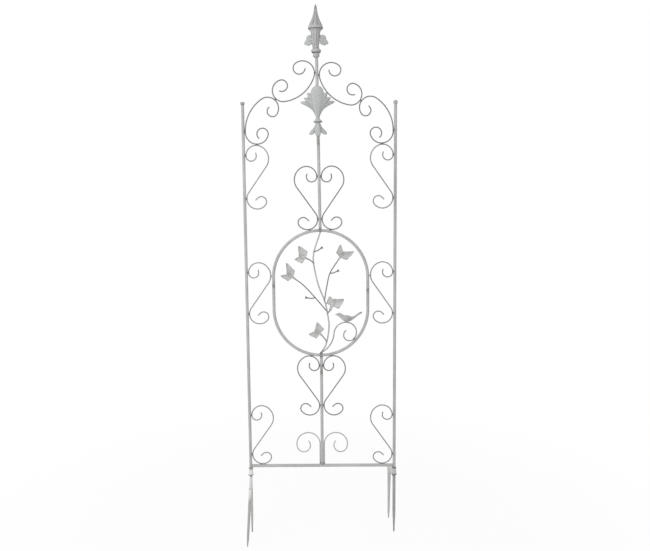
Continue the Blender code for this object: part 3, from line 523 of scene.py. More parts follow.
def old_paint(name, colour, dirt_and_shade_level=1.0, rough=0.52, grain=1.0, fleck_level=1.0, painted_highlight=0.0):
    """Brushed grey paint gone chalky: cloudy in tone, streaked down its length, painted shade in grooves and
    down the right-hand side, away from the key light, a dark wash round joints, small chips to the primer,
    and a fine brush grain in the surface. The last argument is the share of near-white painted highlight,
    for light from above, on everything higher than the ground forks' heads."""
    material = bpy.data.materials.new(name)
    paint = Paint(material)
    here = paint.object_place()
    tone = colours()
    cloud = paint.noise(here, scale=11.0)
    fleck = paint.noise(here, scale=95.0, detail=4.0, rough=0.6)
    streak = paint.noise(here, scale=60.0, rough=0.6, stretch=(1.0, 1.0, 0.12))
    brush = paint.noise(here, scale=620.0, detail=2.0, rough=0.5, stretch=(1.0, 1.0, 0.5))
    chips = paint.noise(here, scale=210.0, detail=2.0, rough=0.7)
    shade, thin = paint.kept_number("shade"), paint.kept_number("primer")
    body = paint.blend(cloud.step(0.32, 0.68), rgba(colour, 0.90), rgba(colour, 1.08))
    body = paint.blend(fleck.step(0.40, 0.75) * (0.45 * fleck_level), body, rgba(colour, 1.22))
    parts = paint.add("ShaderNodeSeparateXYZ", {0: here}).outputs
    across, height = Number(paint, parts[0]), Number(paint, parts[2])
    # Painted highlight: from the lower to the higher height the paint turns near white, for light from above.
    if painted_highlight:
        body = paint.blend(height.step(*HIGHLIGHT_RISE) * painted_highlight, body, rgba(tone.painted_highlight))
    # Dirt and painted shade together: the shade attribute (painted shade in grooves and under rims, dark wash
    # round joints), streaks and flecks, and painted shade that deepens from x 0.10 to 0.24 on the right-hand
    # side, away from the key light.
    dirt_and_shade = ((shade * 0.95 + streak.step(0.52, 0.80) * (0.22 * fleck_level)
             + fleck.step(0.55, 0.30) * shade * 0.5 + across.step(0.10, 0.24) * 0.14) * dirt_and_shade_level).kept()
    chip = (chips.step(0.735, 0.76) * 0.75 + thin * fleck.step(0.35, 0.60) * 0.85).kept()
    shown = paint.blend(chip, paint.blend(dirt_and_shade, body, rgba(tone.wash_and_shade)), rgba(tone.primer))
    gloss = (cloud * 0.14 + dirt_and_shade * 0.16 + fleck * 0.08 + (rough - 0.10)).kept()
    relief = brush * 0.35 + fleck * 0.9 - chip * 0.5
    bump = paint.add("ShaderNodeBump", {"Strength": 0.35 * grain, "Distance": 0.0005, "Height": relief})
    shader = paint.add("ShaderNodeBsdfPrincipled", {
        "Base Color": shown, "Roughness": gloss, "Metallic": 0.0, "Normal": bump.outputs[0],
        "Specular IOR Level": 0.35,
    })
    paint.add("ShaderNodeOutputMaterial", {"Surface": shader.outputs[0]})
    return material


def paint_for(kind):
    """The paint of one kind of piece, made once."""
    name = f"{kind}_paint"
    if name in bpy.data.materials:
        return bpy.data.materials[name]
    tone = colours()
    looks = {  # colour, strength of dirt and painted shade, roughness, grain, flecks and share of painted highlight
        "tube": (tone.tube, 0.8, 0.50, 0.8),
        "wire": (tone.wire, 1.0, 0.50, 0.7),
        "dark_wire": (tone.dark_wire, 1.0, 0.50, 0.7),
        "casting": (tone.casting, 0.5, 0.58, 0.4, 0.4),
        "leaf": (tone.leaf, 0.5, 0.58, 0.4, 0.4),
        "spear": (tone.spear, 0.9, 0.55, 0.4, 0.5),
        "foot": (tone.foot, 0.8, 0.58, 0.9, 1.0, 0.30),
        # Darker foot paint for the right stake: painted shade on the side away from the key light.
        "shaded_foot": ([0.86 * c for c in tone.foot], 0.8, 0.58, 0.9, 1.0),
        "pale_foot": ([1.22 * c for c in tone.foot], 0.6, 0.58, 0.9, 1.0, 0.30),
        # Nearly all painted highlight above the forks' heads: for the left socket, the crossbars and the left
        # prong.
        "highlit_foot": (tone.foot, 0.8, 0.50, 0.9, 1.0, 0.90),
    }
    return old_paint(name, *looks[kind])


# The trellis's own lines


def half_ring():
    """Half width of the ring's centre line, and the heights of its top, its bottom and its seams."""
    radius = sizes().tube / 2
    top = span("ring_upper_half", 2)[1] - radius
    bottom = span("ring_lower_half", 2)[0] + radius
    return thickness("ring_upper_half", 0) / 2 - radius, top, bottom, (top + bottom) / 2


def in_ring(*shares):
    """Points given as shares of the ring's inner half width and half height, from its middle."""
    width, top, bottom, seam = half_ring()
    half = np.array([width, (top - bottom) / 2]) - sizes().tube / 2
    return (0.0, seam) + np.array(shares) * half


def ring_lines():
    """Each half of the ring: up one side, half round the end and down the other, to the seams."""
    width, top, bottom, seam = half_ring()
    leg = (top - bottom) / 2 - width
    half = arc_path(90, ((0, leg), (width, 180), (0, leg)))
    return {"ring_upper_half": half + (width, seam), "ring_lower_half": (-width, seam) - half}


def upper_arch(side, sweep):
    """Upper arch scroll of one side, with its slight twist and the upper rod's lean."""
    moves = ((0.0188, 234), (0.0379, 144), (sweep, 64), (0.0341, 172), (0.0180, 222))
    return leaned(mirrored(arc_path(-90 - 2.3 * side, moves), side))


def scroll_lines():
    """Side and heart scrolls, from upper hook to lower hook; arch scrolls, the upper ones with a long sweep
    that makes them as wide as the CAD node's box; and base crooks, bent over in a large curl and a small
    hook."""
    own = sizes()
    scroll = arc_path(-75, ((0, 0.006), (own.hook, -195), (own.curl, -117), (own.shoulder, -98),
                            (0, own.diagonal), (own.curl, 178), (own.hook, 172), (0, 0.010)))
    outer = arc_path(37, ((0.0182, 249), (0.0371, 162), (0.1220, 58), (0.0347, 156), (0.0169, 205)))
    crook = arc_path(90, ((0, 0.0707), (0.0393, -200), (0.0225, -206)))
    lines = {f"{level}_{name}_side_scroll": mirrored(scroll, -side)
             for level in ("lower", "middle", "upper") for name, side in SIDES}
    lines.update({f"lower_{name}_heart_scroll": mirrored(scroll, side) for name, side in SIDES})
    lines.update({f"upper_{name}_heart_scroll": leaned(mirrored(scroll, side)) for name, side in SIDES})
    for name, side in SIDES:
        upper = f"{name}_upper_arch_scroll"
        wanted = thickness(upper, 0) - own.wire
        tight, loose = 0.20, 0.30
        least, most = (np.ptp(upper_arch(side, sweep)[:, 0]) for sweep in (tight, loose))
        lines[upper] = upper_arch(side, tight + (loose - tight) * (wanted - least) / (most - least))
        lines[f"{name}_outer_arch_scroll"] = mirrored(outer, side)
    lines.update({f"{name}_base_crook": mirrored(crook, side) for name, side in SIDES})
    return {node: in_box(path, node) for node, path in lines.items()}


def rod_span(node):
    """Foot and top of a rod above the ring before its lean, from its leaned box: a box grows by the radius
    times sin a at each end, and shrinks by cos a about the ring's top."""
    a, top = sizes().lean, half_ring()[1]
    low, high = span(node, 2)
    edge = sizes().tube / 2 * math.sin(a)
    return top + (low + edge - top) / math.cos(a), top + (high - edge - top) / math.cos(a)


def rod_lines():
    """Posts and the lower rod as upright lines, and the rods above the ring as leaned ones."""
    lines = {node: np.array([(middle(node)[0], height) for height in span(node, 2)])
             for node in ("left_post", "right_post", "lower_centre_rod", "vine_base_stub")}
    for node in ("upper_centre_rod", "finial_rod"):
        lines[node] = leaned([(0.0, height) for height in rod_span(node)])
    return lines


def vine_lines():
    """The main stem, from the stub on the ring's foot to the ring's top, then the branches, leaf stems and
    bud twigs, each from the middle of the stem that carries it. The twigs sag a little."""
    sag = (0, 0.0022)
    own, low, high = sizes(), span("vine_base_stub", 2)[1], half_ring()[1]
    bends = in_ring((0.176, -0.556), (0.142, -0.325), (0.081, -0.118), (-0.054, 0.148), (-0.149, 0.487),
                    (-0.135, 0.689))
    stem = np.vstack([(0.0, low - 0.002), (0.017, low + 0.029), bends, (0.001, high - 0.003)])
    lines = {"vine_main_stem": (curve_path(stem), own.stem)}
    for node, *shares in (
        ("vine_left_branch", (0.122, -0.285), (-0.135, -0.059), (-0.372, 0.133), (-0.568, 0.246)),
        ("vine_right_branch", (0.081, -0.118), (0.128, 0.089), (0.209, 0.334), (0.405, 0.561)),
        ("vine_short_branch", (0.149, -0.325), (0.196, -0.285), (0.230, -0.226)),
        ("upper_left_leaf_stem", (-0.149, 0.497), (-0.216, 0.541), (-0.284, 0.566)),
        ("lower_left_leaf_stem", (0.128, -0.807), (0.061, -0.733), (0.007, -0.689)),
    ):
        lines[node] = (curve_path(in_ring(*shares)), own.wire)
    for node, *shares in (
        ("upper_bud_twig", (-0.135, 0.684), (0.015, 0.736)),
        ("right_bud_twig", (0.203, 0.330), (0.363, 0.362)),
        ("left_bud_twig", (-0.122, -0.069), (-0.300, -0.070)),
    ):
        start, end = in_ring(*shares)
        lines[node] = (curve_path((start, (start + end) / 2 - sag, end)), own.twig)
    return lines


def perch_line():
    """The perch: a sweep that leaves the stub, a round back, a curl and a hook, as large as the CAD node's
    box."""
    shape = arc_path(33, ((0.0804, 53), (0.0402, -104), (0.0330, -122), (0.0191, -189)))
    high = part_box("perch_scroll")[1]
    reach = np.array([high.x, high.z]) - sizes().wire / 2
    foot = 0.0070
    size = (reach[0] - foot) / shape[:, 0].max()
    return size * (shape - shape.max(0)) + reach


@cache
def all_lines():
    """Every tube and wire as {node: (path, radius)}, worked out once."""
    own = sizes()
    lines = {node: (path, own.tube) for node, path in {**rod_lines(), **ring_lines()}.items()}
    lines.update({node: (path, own.wire) for node, path in scroll_lines().items()})
    lines.update(vine_lines(), perch_scroll=(perch_line(), own.wire))
    return {node: (path, size / 2) for node, (path, size) in lines.items()}


@cache
def joints():
    """Where two lines touch: for each pair, every local least distance below the sum of their radii and the
    touch gap, as (x, z, angle of the line between them, smaller radius, the two nodes)."""
    step = 0.0012
    lines = {node: (places(path, np.arange(0, ticks(path)[-1], step)), radius)
             for node, (path, radius) in all_lines().items()}
    found = []
    for first, second in combinations(sorted(lines), 2):
        (one, near), (two, far) = lines[first], lines[second]
        reach = near + far + TOUCH_GAP
        apart = (one.min(0) > two.max(0) + reach).any() or (two.min(0) > one.max(0) + reach).any()
        if apart or (first, second) == ("ring_lower_half", "ring_upper_half"):
            continue
        away = np.linalg.norm(one[:, None] - two[None], axis=2)
        least, mate = away.min(1), away.argmin(1)
        close = np.flatnonzero(least < reach)
        for run in np.split(close, np.flatnonzero(np.diff(close) > 4) + 1):
            if len(run):
                at = run[least[run].argmin()]
                way = two[mate[at]] - one[at]
                x, z = one[at] + way * near / (near + far)
                found.append((x, z, math.atan2(way[1], way[0]), min(near, far), first, second))
    return found


def joint_spots():
    """Joints as (x, z, reach of the dark wash round them), and three stains near the ring's seams."""
    width, _, _, seam = half_ring()
    spots = [(x, z, 0.0032 + 0.6 * radius) for x, z, _, radius, _, _ in joints()]
    return spots + [(-width + 0.0045, seam + 0.022, 0.0042), (-width + 0.0045, seam + 0.036, 0.0038),
                    (width, seam + 0.011, 0.0050)]


def primer_spots():
    """Where thin paint lets the primer through, as (x, z, reach): under the tulip, at the ring's seams, low
    on the ring's left side and on the lower rod."""
    width, _, bottom, seam = half_ring()
    tulip = leaned([(0.0, rod_span("upper_centre_rod")[1] - 0.014)])[0]
    return [(*tulip, 0.016), (-width, seam + 0.027, 0.007), (width, seam + 0.011, 0.006),
            (-width, seam - 0.12, 0.010), (0.0, bottom - 0.055, 0.012)]


# Frame


class TRELLIS_OT_posts_and_rods(bpy.types.Operator):
    """Posts with ball caps, the bottom bar and the three lengths of the centre rod"""

    bl_idname = "trellis.posts_and_rods"
    bl_label = "Posts, bar and rods"

    def execute(self, context):
        for node in ("left_post", "right_post", "lower_centre_rod", "upper_centre_rod", "finial_rod"):
            path, radius = all_lines()[node]
            rod = wire(path, radius, sides=28, spacing=0.006)
            piece(f"{node}_tube", Shell().add(rod), "tube", [node])
        for node in ("left_post_cap", "right_post_cap"):
            piece(f"{node}_ball", cap_ball(node), "tube", [node])
        piece("bottom_square_bar", square_bar(), "tube", ["bottom_bar"])
        return {"FINISHED"}


def square_bar(corner=0.0040):
    """Bar along X whose section is a square with a quarter circle at each corner."""
    half = sizes().bar / 2
    turns = np.concatenate([np.linspace(0, np.pi / 2, 5) + k * np.pi / 2 for k in range(4)])
    middles = np.repeat([[1, 1], [-1, 1], [-1, -1], [1, -1]], 5, axis=0) * (half - corner)
    low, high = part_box("bottom_bar")
    z = (low.z + high.z) / 2
    section = middles + circle(turns, corner)
    bar = level_bar((low.x, 0, z), (high.x, 0, z), section, count=60, eased=1 - EASED_END / half)
    return Shell().add(bar)


def cap_ball(node):
    """Ball on a short collar: a circle's radius(z) above the collar's height. The left one is knocked
    flat."""
    low, high = span(node, 2)
    ball = 1.01 * thickness(node, 0) / 2
    centre = high - ball
    knocked = node == "left_post_cap"
    q = np.linspace(-0.30 * np.pi, 0.497 * np.pi, 22)
    profile = np.stack([ball * np.cos(q), centre + ball * np.sin(q)], axis=1)
    if knocked:
        profile[:, 1] = np.minimum(profile[:, 1], centre + 0.60 * ball)
    foot = np.array([(0.45 * ball, low), (0.62 * ball, low + 0.0003)])
    return Shell().add(lathe(np.vstack([foot, profile]), middle(node)[0]), 0.5 if knocked else 0.0)


class TRELLIS_OT_ring(bpy.types.Operator):
    """The oval ring in two halves, with a filled seam on each side"""

    bl_idname = "trellis.ring"
    bl_label = "Oval ring"

    def execute(self, context):
        radius = sizes().tube / 2
        for node, path in ring_lines().items():
            half = wire(path, radius, sides=24, spacing=0.0022)
            piece(f"{node}_tube", Shell().add(half), "tube", [node])
        width, _, _, seam = half_ring()
        seams = Shell()
        q = np.linspace(-1, 1, 9)
        profile = np.stack([radius + 0.0004 * np.sqrt(1 - 0.9 * q**2) - 0.0002, seam + 0.0016 * q], axis=1)
        for _, side in SIDES:
            seams.add(lathe(profile, side * width), 0.12)
        piece("ring_seam_fillets", seams, "tube")
        return {"FINISHED"}


# Scrolls


def dress_wires(paint, *endings):
    """A smooth wire for each CAD node whose name has one of these endings."""
    for node, line in all_lines().items():
        if node.endswith(endings):
            piece(f"{node}_wire", Shell().add(wire(*line)), paint, [node])


class TRELLIS_OT_side_scrolls(bpy.types.Operator):
    """Six side scrolls and the short pegs of the middle pair"""

    bl_idname = "trellis.side_scrolls"
    bl_label = "Side scrolls"

    def execute(self, context):
        dress_wires("wire", "side_scroll")
        for node in [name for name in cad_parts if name.endswith("_peg")]:
            low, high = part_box(node)
            z = (low.z + high.z) / 2
            line = np.array([[low.x - 0.001, z], [high.x + 0.001, z]])
            radius = (high.z - low.z) / 2
            rod = wire(line, radius, spacing=0.0008, swell=lambda t: 1 + 0.25 * (2 * t - 1) ** 2)
            piece(f"{node}_pin", Shell().add(rod, 0.5), "wire", [node])
        return {"FINISHED"}


class TRELLIS_OT_heart_scrolls(bpy.types.Operator):
    """Heart scrolls above and below the ring, and the two base crooks"""

    bl_idname = "trellis.heart_scrolls"
    bl_label = "Heart scrolls and crooks"

    def execute(self, context):
        dress_wires("dark_wire", "heart_scroll")
        dress_wires("tube", "base_crook")
        return {"FINISHED"}


class TRELLIS_OT_arch_scrolls(bpy.types.Operator):
    """Outer and upper arch scrolls"""

    bl_idname = "trellis.arch_scrolls"
    bl_label = "Arch scrolls"

    def execute(self, context):
        dress_wires("dark_wire", "arch_scroll")
        return {"FINISHED"}


# Vine


class TRELLIS_OT_vine(bpy.types.Operator):
    """The vine's stems and bud twigs"""

    bl_idname = "trellis.vine"
    bl_label = "Vine stems and twigs"

    def execute(self, context):
        low, high = span("vine_base_stub", 2)
        radius = sizes().tube / 2
        stub = turned(((0.4 * radius, low - 0.0015), (radius, low), (0.92 * radius, high - 0.0012),
                       (0.55 * radius, high + 0.0004)))
        piece("vine_stub_lug", Shell().add(lathe(stub), 0.35), "wire", ["vine_base_stub"])
        dress_wires("tube", "main_stem")
        dress_wires("dark_wire", "left_branch", "right_branch", "leaf_stem")
        wedge = wire(*all_lines()["vine_short_branch"], swell=lambda t: 1.0 + 0.9 * t)
        piece("vine_short_branch_wedge", Shell().add(wedge), "wire", ["vine_short_branch"])
        for node in ("upper_bud_twig", "right_bud_twig", "left_bud_twig"):
            piece(f"{node}_bud", bud_twig(*all_lines()[node]), "wire", [node])
        return {"FINISHED"}


def bud_twig(path, radius):
    """A twig that ends in a knob with two short bud scales, one to each side. The knob's radius follows the
    sine of the place along it, to the power 0.7."""
    end, aim = path[-1], unit(path[-1] - path[-4])
    knob_radius, knob_from, knob_to, scales_at = 0.0034, -0.0010, 0.0062, 0.0030
    shell = Shell().add(wire(path, radius, sides=12, spacing=0.001, swell=lambda t: 0.92 + 0.12 * t), 0.35)
    girth = knob_radius * np.sin(np.linspace(0.35, np.pi - 0.35, 9)) ** 0.7
    shell.add(tube(end + np.linspace(knob_from, knob_to, 9)[:, None] * aim, girth, sides=14), 0.75)
    for turn in (-58, 58):
        c, s = math.cos(math.radians(turn)), math.sin(math.radians(turn))
        way = np.array([c * aim[0] - s * aim[1], s * aim[0] + c * aim[1]])
        root = end + scales_at * aim
        line = bowed(root, root + way * 0.0030, root + way * 0.0040 + aim * 0.0022, steps=8)
        scale, groove = finger(line, 0.0018, 0.0016, neck=0.6, sides=10, ribs=1, pointed=0.5)
        shell.add(scale, 0.5 + groove)
    return shell


# Each leaf pair: the stem that carries it, the tips of its large and its small blade in the ring, and their
# half width.
LEAF_TIPS = {
    "left_leaf_pair": ("vine_left_branch", (-0.745, 0.499), (-0.865, 0.298), 0.0121),
    "right_leaf_pair": ("vine_right_branch", (0.719, 0.680), (0.446, 0.792), 0.0126),
    "lower_right_leaf_pair": ("vine_short_branch", (0.499, -0.096), (0.200, -0.047), 0.0158),
    "upper_left_leaf_pair": ("upper_left_leaf_stem", (-0.472, 0.770), (-0.552, 0.563), 0.0140),
    "lower_left_leaf_pair": ("lower_left_leaf_stem", (-0.086, -0.478), (-0.266, -0.667), 0.0134),
}
LARGE_BLADE, SMALL_BLADE = (0.98, 0.18), (0.84, -0.22)  # share of the half width, and the outer edge's bulge
SHOULDER = 0.47  # where a blade is widest, as a share of its length
BLADE_BOW = 0.0045  # how far a blade's middle comes forward


def leaf_blade(root, tip, half_width, belly):
    """Closed leaf blade from root to tip. Across it v runs from -1 to 1 on its face and back on its rear, and
    s runs from 0 at the root to 1 at the tip. Its half width grows as the sine of half pi s over the
    shoulder, to the power 1.5. Beyond the shoulder it shrinks as (1 - s)^0.64 on the outer edge, which is on
    the side where v and the belly differ in sign and bulges by the belly's share, and as (1 - s)^0.86 on the
    inner one. Each edge has three rounded teeth. Ribs run along it and slant a little forward, as a cosine of
    2.2 |v| - 0.9 s. It is cupped by v squared, and bowed forward by the sine of s."""
    reach = np.linalg.norm(tip - root)
    aim = (tip - root) / reach
    side = np.array([-aim[1], aim[0]])
    s = ((1 - np.cos(np.pi * np.linspace(0.0, 1.0, 44))) / 2 * 0.996 + 0.002)[:, None]
    face = np.linspace(-1, 1, 25)
    v = np.concatenate([face, face[-2:0:-1]])
    front = np.where(np.arange(len(v)) < len(face), 1.0, -1.0)
    teeth = 1 + 0.10 * np.abs(np.sin(3.0 * np.pi * s**0.9)) * (s < 0.97)
    taper = np.where(v * belly < 0, 0.64, 0.86)
    grow = np.sin(0.5 * np.pi * s / SHOULDER) ** 1.5
    swell = np.where(s < SHOULDER, grow, ((1 - s) / (1 - SHOULDER)) ** taper)
    spread = half_width * (0.16 * (1 - s) + swell) * teeth
    along = reach * (s - 0.07 * np.abs(v) ** 1.5 * np.sin(np.pi * s))
    vein = 0.5 + 0.5 * np.cos(2 * np.pi * (2.2 * np.abs(v) - 0.9 * s))
    mid = hump(v, 0.0, 0.13)
    relief = 0.00035 * vein * (1 - mid) - 0.00060 * mid
    half = sizes().blade_edge / 2 * (0.55 + 0.45 * np.cos(0.5 * np.pi * v) ** 0.5)
    y = -0.34 * half_width * v**2 - BLADE_BOW * np.sin(np.pi * s * 0.9) - front * (half - relief)
    flat = root + along[..., None] * aim + (spread * v * (1 - belly * v))[..., None] * side
    # Painted shade in the midrib and in the grooves between the ribs, darker towards the edges and the root.
    shade = 0.34 * mid + 0.42 * (1 - vein) + 0.60 * np.abs(v) ** 6 + 0.10 * np.exp(-s * 9)
    return np.stack([flat[..., 0], y, flat[..., 1]], axis=2), np.clip(shade, 0, 1)


class TRELLIS_OT_leaf_pairs(bpy.types.Operator):
    """Five cast leaf pairs: a ribbed cup on the stem's end, a large leaf and a small one"""

    bl_idname = "trellis.leaf_pairs"
    bl_label = "Leaf pairs"

    def execute(self, context):
        for node, (stem, large, small, half_width) in LEAF_TIPS.items():
            path = all_lines()[stem][0]
            aim = unit(path[-1] - path[-5])
            girth, set_back = (1.45, 0.007) if stem == "vine_short_branch" else (1.0, 0.0)
            shell = Shell().add(*leaf_cup(path[-1] - set_back * aim, aim, girth))
            root = path[-1] + 0.0110 * aim
            for tip, (wide, belly) in zip(in_ring(large, small), (LARGE_BLADE, SMALL_BLADE)):
                out = tip - root
                shell.add(*leaf_blade(root - 0.10 * out, tip + 0.04 * out, half_width * wide, belly))
            piece(f"{node}_casting", shell, "leaf", [node])
        return {"FINISHED"}


def leaf_cup(start, aim, girth):
    """Cup that grips the stem's end: a short turned form with a rolled lip, ribbed past the stem's end by the
    cosine of six times the angle. A row of its profile is (distance past the stem's end, radius)."""
    profile = mm(((-4, 2.2), (-1.5, 3.2), (0.5, 3.0), (4, 3.6), (9, 4.8), (14, 5.8), (17.5, 5.0), (20, 2.2)))
    walked, radius = curve_path(profile, steps=4).T[..., None]
    sides = 18
    ribs = 1 + 0.07 * np.cos(6 * around(sides)) * np.clip(walked / 0.008, 0, 1)
    return (tube(start + walked * girth * aim, radius[:, 0] * girth, sides=sides, relief=ribs),
            0.25 + 0.45 * (walked < 0.001))


class TRELLIS_OT_perch_and_bird(bpy.types.Operator):
    """The curled perch with the bird on its back"""

    bl_idname = "trellis.perch_and_bird"
    bl_label = "Perch and bird"

    def execute(self, context):
        dress_wires("wire", "perch_scroll")
        piece("bird_casting", bird(), "tube", ["bird"])
        return {"FINISHED"}


BIRD_LENGTH, BIRD_HEIGHT = 0.085, 0.0130


def bird():
    """Bird as one swelling body from beak to tail, with a pair of folded wings and a pair of eyes. A station
    is (along, height, half height), in shares of its length and of its body's height."""
    path = all_lines()["perch_scroll"][0]
    seat = path[path[:, 1].argmax()] + (0.0050, sizes().wire / 2 - 0.0005)
    along, rise, girth = curve_path((
        (-0.474, 1.88, 0.04), (-0.440, 1.89, 0.11), (-0.410, 1.90, 0.17), (-0.385, 1.93, 0.32),
        (-0.353, 1.93, 0.43), (-0.313, 1.90, 0.50), (-0.254, 1.68, 0.52), (-0.157, 1.18, 0.64),
        (-0.078, 0.95, 0.84), (0.0, 0.87, 0.88), (0.067, 0.87, 0.78), (0.133, 0.90, 0.62),
        (0.196, 1.01, 0.43), (0.247, 1.15, 0.33), (0.333, 1.49, 0.26), (0.396, 1.82, 0.24),
        (0.529, 2.35, 0.22), (0.584, 2.44, 0.13)), steps=6).T
    line = seat + np.stack([along * BIRD_LENGTH, rise * BIRD_HEIGHT], axis=1)
    flat = np.interp(along, (-0.47, -0.30, 0.05, 0.25, 0.58), (0.9, 0.95, 0.82, 1.15, 1.9))
    shade = 0.55 * (along > 0.50) + 0.5 * (along < -0.40) + 0.12 * np.sin(along * 150) ** 2
    girth = girth * BIRD_HEIGHT
    shell = Shell().add(tube(line, girth, girth * flat, sides=22), shade[:, None])
    foot = np.array([seat[0], 0.0, seat[1]])
    for _, side in SIDES:
        wing = foot + mm(((-10, 6.2 * side, 15.5), (4, 12 * side, 7.5), (24.5, 5 * side, 15)))
        shell.add(*finger(bowed(*wing), 0.0052, 0.0016, neck=0.5, ribs=3, pointed=0.6, wide_at=0.5))
        eye = foot + mm((-28.5, 5.2 * side, 25.0))
        shell.add(bead(eye, (1.0, 0.0, 0.0), (0.0011, 0.0011, 0.0009)), 0.9)
    return shell


# Castings


class TRELLIS_OT_plume(bpy.types.Operator):
    """Plume of seven fingers on a collar, with a tulip hanging under it"""

    bl_idname = "trellis.plume"
    bl_label = "Plume and tulip"

    def execute(self, context):
        piece("plume_and_tulip_casting", plume().leaned(), "casting", ["plume_casting"])
        return {"FINISHED"}


def plume():
    """Fingers that rise from the collar and bend outwards, in pairs of (tip x, drop of the tip below the top,
    bend x, rise of the bend, half width, y), the outer ones behind; then the middle finger, the collar, the
    tulip's bell and its three petals."""
    low, high = rod_span("upper_centre_rod")[1] + SEAT_GAP, rod_span("finial_rod")[0] - SEAT_GAP
    neck, collar = low + 0.054, low + 0.0455
    shell = Shell()
    for x, drop, bend_x, rise, half_width, y in mm((
        (54.5, 51.0, 8, 50, 6.7, 2.2), (42.5, 38.5, 7, 56, 8.0, 1.2), (31.2, 22.5, 6, 60, 9.5, 0.4),
    )):
        for _, side in SIDES:
            root, bend = (side * 0.0022, y, neck), (side * bend_x, y, neck + rise)
            line = bowed(root, bend, (side * x, y, high - drop))
            rings, groove = finger(line, half_width, 0.0062, neck=0.34, sides=24)
            # Painted shade in each finger's grooves, darker towards its root.
            shell.add(rings, groove + 0.3 * np.linspace(1, 0, len(groove))[:, None] ** 3)
    centre = bowed((0, -0.0018, neck), (0, -0.0022, neck + 0.05), (0, -0.0010, high))
    rings, groove = finger(centre, 0.0204, 0.0085, neck=0.22, sides=36, ribs=3, wide_at=0.80)
    shell.add(rings, 0.60 * groove)
    ring = turned((0, collar) + mm(((8.5, -1.5), (9.2, -0.2), (13.2, 0.6), (14.6, 2.0), (14.2, 3.6),
                                    (12.4, 5.8), (9.8, 8.2), (7.8, 10.6), (6.0, 12.0))))
    # Painted shade on the underside of the collar, where it meets the bell.
    shell.add(lathe(ring), 1.9 * hump(ring[:, 1:], collar + 0.0012, 0.0013))
    bell = turned(((0.0080, collar + 0.001), (0.0072, collar - 0.010), (0.0078, collar - 0.024),
                   (0.0066, low + 0.0030), (0.0050, low)))
    shell.add(lathe(bell), 0.1)
    for _, side in SIDES:
        petal = (0, 0, collar) + mm(((3.4 * side, 1, 0), (6.2 * side, -1, -24.5), (28.4 * side, 1, -36.8)))
        rings, groove = finger(bowed(*petal), 0.0070, 0.0045, neck=0.6, sides=24, pointed=0.2)
        shell.add(rings, 0.5 * groove)
    front = bowed((0, -0.0035, collar), (0, -0.0075, collar - 0.024), (0, -0.0030, low + 0.0005))
    rings, groove = finger(front, 0.0096, 0.0052, neck=0.6, sides=24, pointed=0.15)
    return shell.add(rings, 0.4 * groove)


class TRELLIS_OT_finial(bpy.types.Operator):
    """Fluted spear with two drooping leaves, a bead and a collar"""

    bl_idname = "trellis.finial"
    bl_label = "Spear finial"

    def execute(self, context):
        low = rod_span("finial_rod")[1] + SEAT_GAP
        piece("spear_finial_casting", spear(low).leaned(), "spear", ["spear_finial"])
        piece("spear_leaves_casting", spear_leaves(low).leaned(), "casting")
        return {"FINISHED"}


SPEAR_HEIGHT = 0.162


def spear(low):
    """Turned stem and spear, whose rounded flutes are the absolute cosine of four times the angle. The stem
    stands a little to the left of its spear, as the crook says. A row of the shape is (radius, height)."""
    shape = curve_path(mm((
        (6.0, 0), (10.0, 3.0), (10.4, 7.0), (10.2, 12.5), (12.5, 14.2), (15.2, 17.2), (15.8, 20.5),
        (14.8, 24.0), (11.2, 27.2), (10.2, 30.0), (10.6, 36.0), (11.5, 48.0), (13.0, 60.0), (14.4, 70.0),
        (15.0, 76.5), (16.6, 80.3), (19.6, 84.2), (22.2, 86.6), (21.6, 87.4), (23.8, 88.5), (24.3, 90.4),
        (22.8, 95.2), (17.8, 106.0), (12.2, 118.0), (8.4, 129.7), (5.8, 141.3), (3.8, 152.8), (2.0, 160.0),
        (0.4, 162.0))), steps=5)
    full = thickness("spear_finial", 2) / SPEAR_HEIGHT
    profile = np.clip(shape, (1e-5, 0), (9, SPEAR_HEIGHT)) * (1, full) + (0, low)
    z = profile[:, 1:] - low
    depth = sizes().flute * np.interp(z, (0.029, 0.036, 0.072, 0.086, 0.0925, 0.103, 0.142, 0.158),
                                      (0, 1, 1, 0, 0, 1, 1, 0))
    sides = 72
    rib = np.abs(np.cos(4.0 * around(sides)))
    # Painted shade: dark bands under the bead, in the crease above it and in the small undercut of the
    # spear's skirt, and darker flutes; the tip is darker too.
    lines = (hump(z, 0.0869, 0.0012) + 1.1 * hump(z, 0.0150, 0.0018) + 0.5 * hump(z, 0.0285, 0.0022)
             + 0.5 * (z > 0.148))
    shade = np.clip(lines + (1 - rib) ** 2 * depth / max(sizes().flute, 1e-6) * 0.85, 0, 1)
    crook = np.interp(z, (0.0, 0.020, 0.045, 0.090, 0.162), (-0.0008, -0.0008, -0.0024, -0.0014, 0.0))
    return Shell().add(lathe(profile, crook, sides, lambda *_: 1 - depth * (1 - rib) ** 1.5), shade)


def spear_leaves(low):
    """Three fingers on each side of the stem that droop from its neck. A row gives root, bend and tip as
    (x, z), then half width and depth."""
    shell = Shell()
    for _, side in SIDES:
        for *line, half_width, y in mm((
            (8, 61, 23.5, 69, 28.8, 53.0, 6.8, 0.6), (8, 55, 23.0, 56, 37.2, 40.2, 6.8, -1.6),
            (8, 48, 17.0, 45, 31.2, 38.2, 5.6, -3.6),
        )):
            x, z = side * np.array(line[::2]), low + np.array(line[1::2])
            path = bowed(*np.stack([x, (y, y - 0.002, y), z], axis=1))
            rings, groove = finger(path, half_width, 0.0046, neck=0.7, wide_at=0.6)
            shell.add(rings, 0.8 * groove)
    return shell


# Ground forks


class TRELLIS_OT_ground_forks(bpy.types.Operator):
    """Sockets under the posts, and the two-prong forks that turn in them"""

    bl_idname = "trellis.ground_forks"
    bl_label = "Ground forks"

    def execute(self, context):
        for name, _ in SIDES:
            socket(name, name == "left")
            fork(name, name == "left")
        return {"FINISHED"}


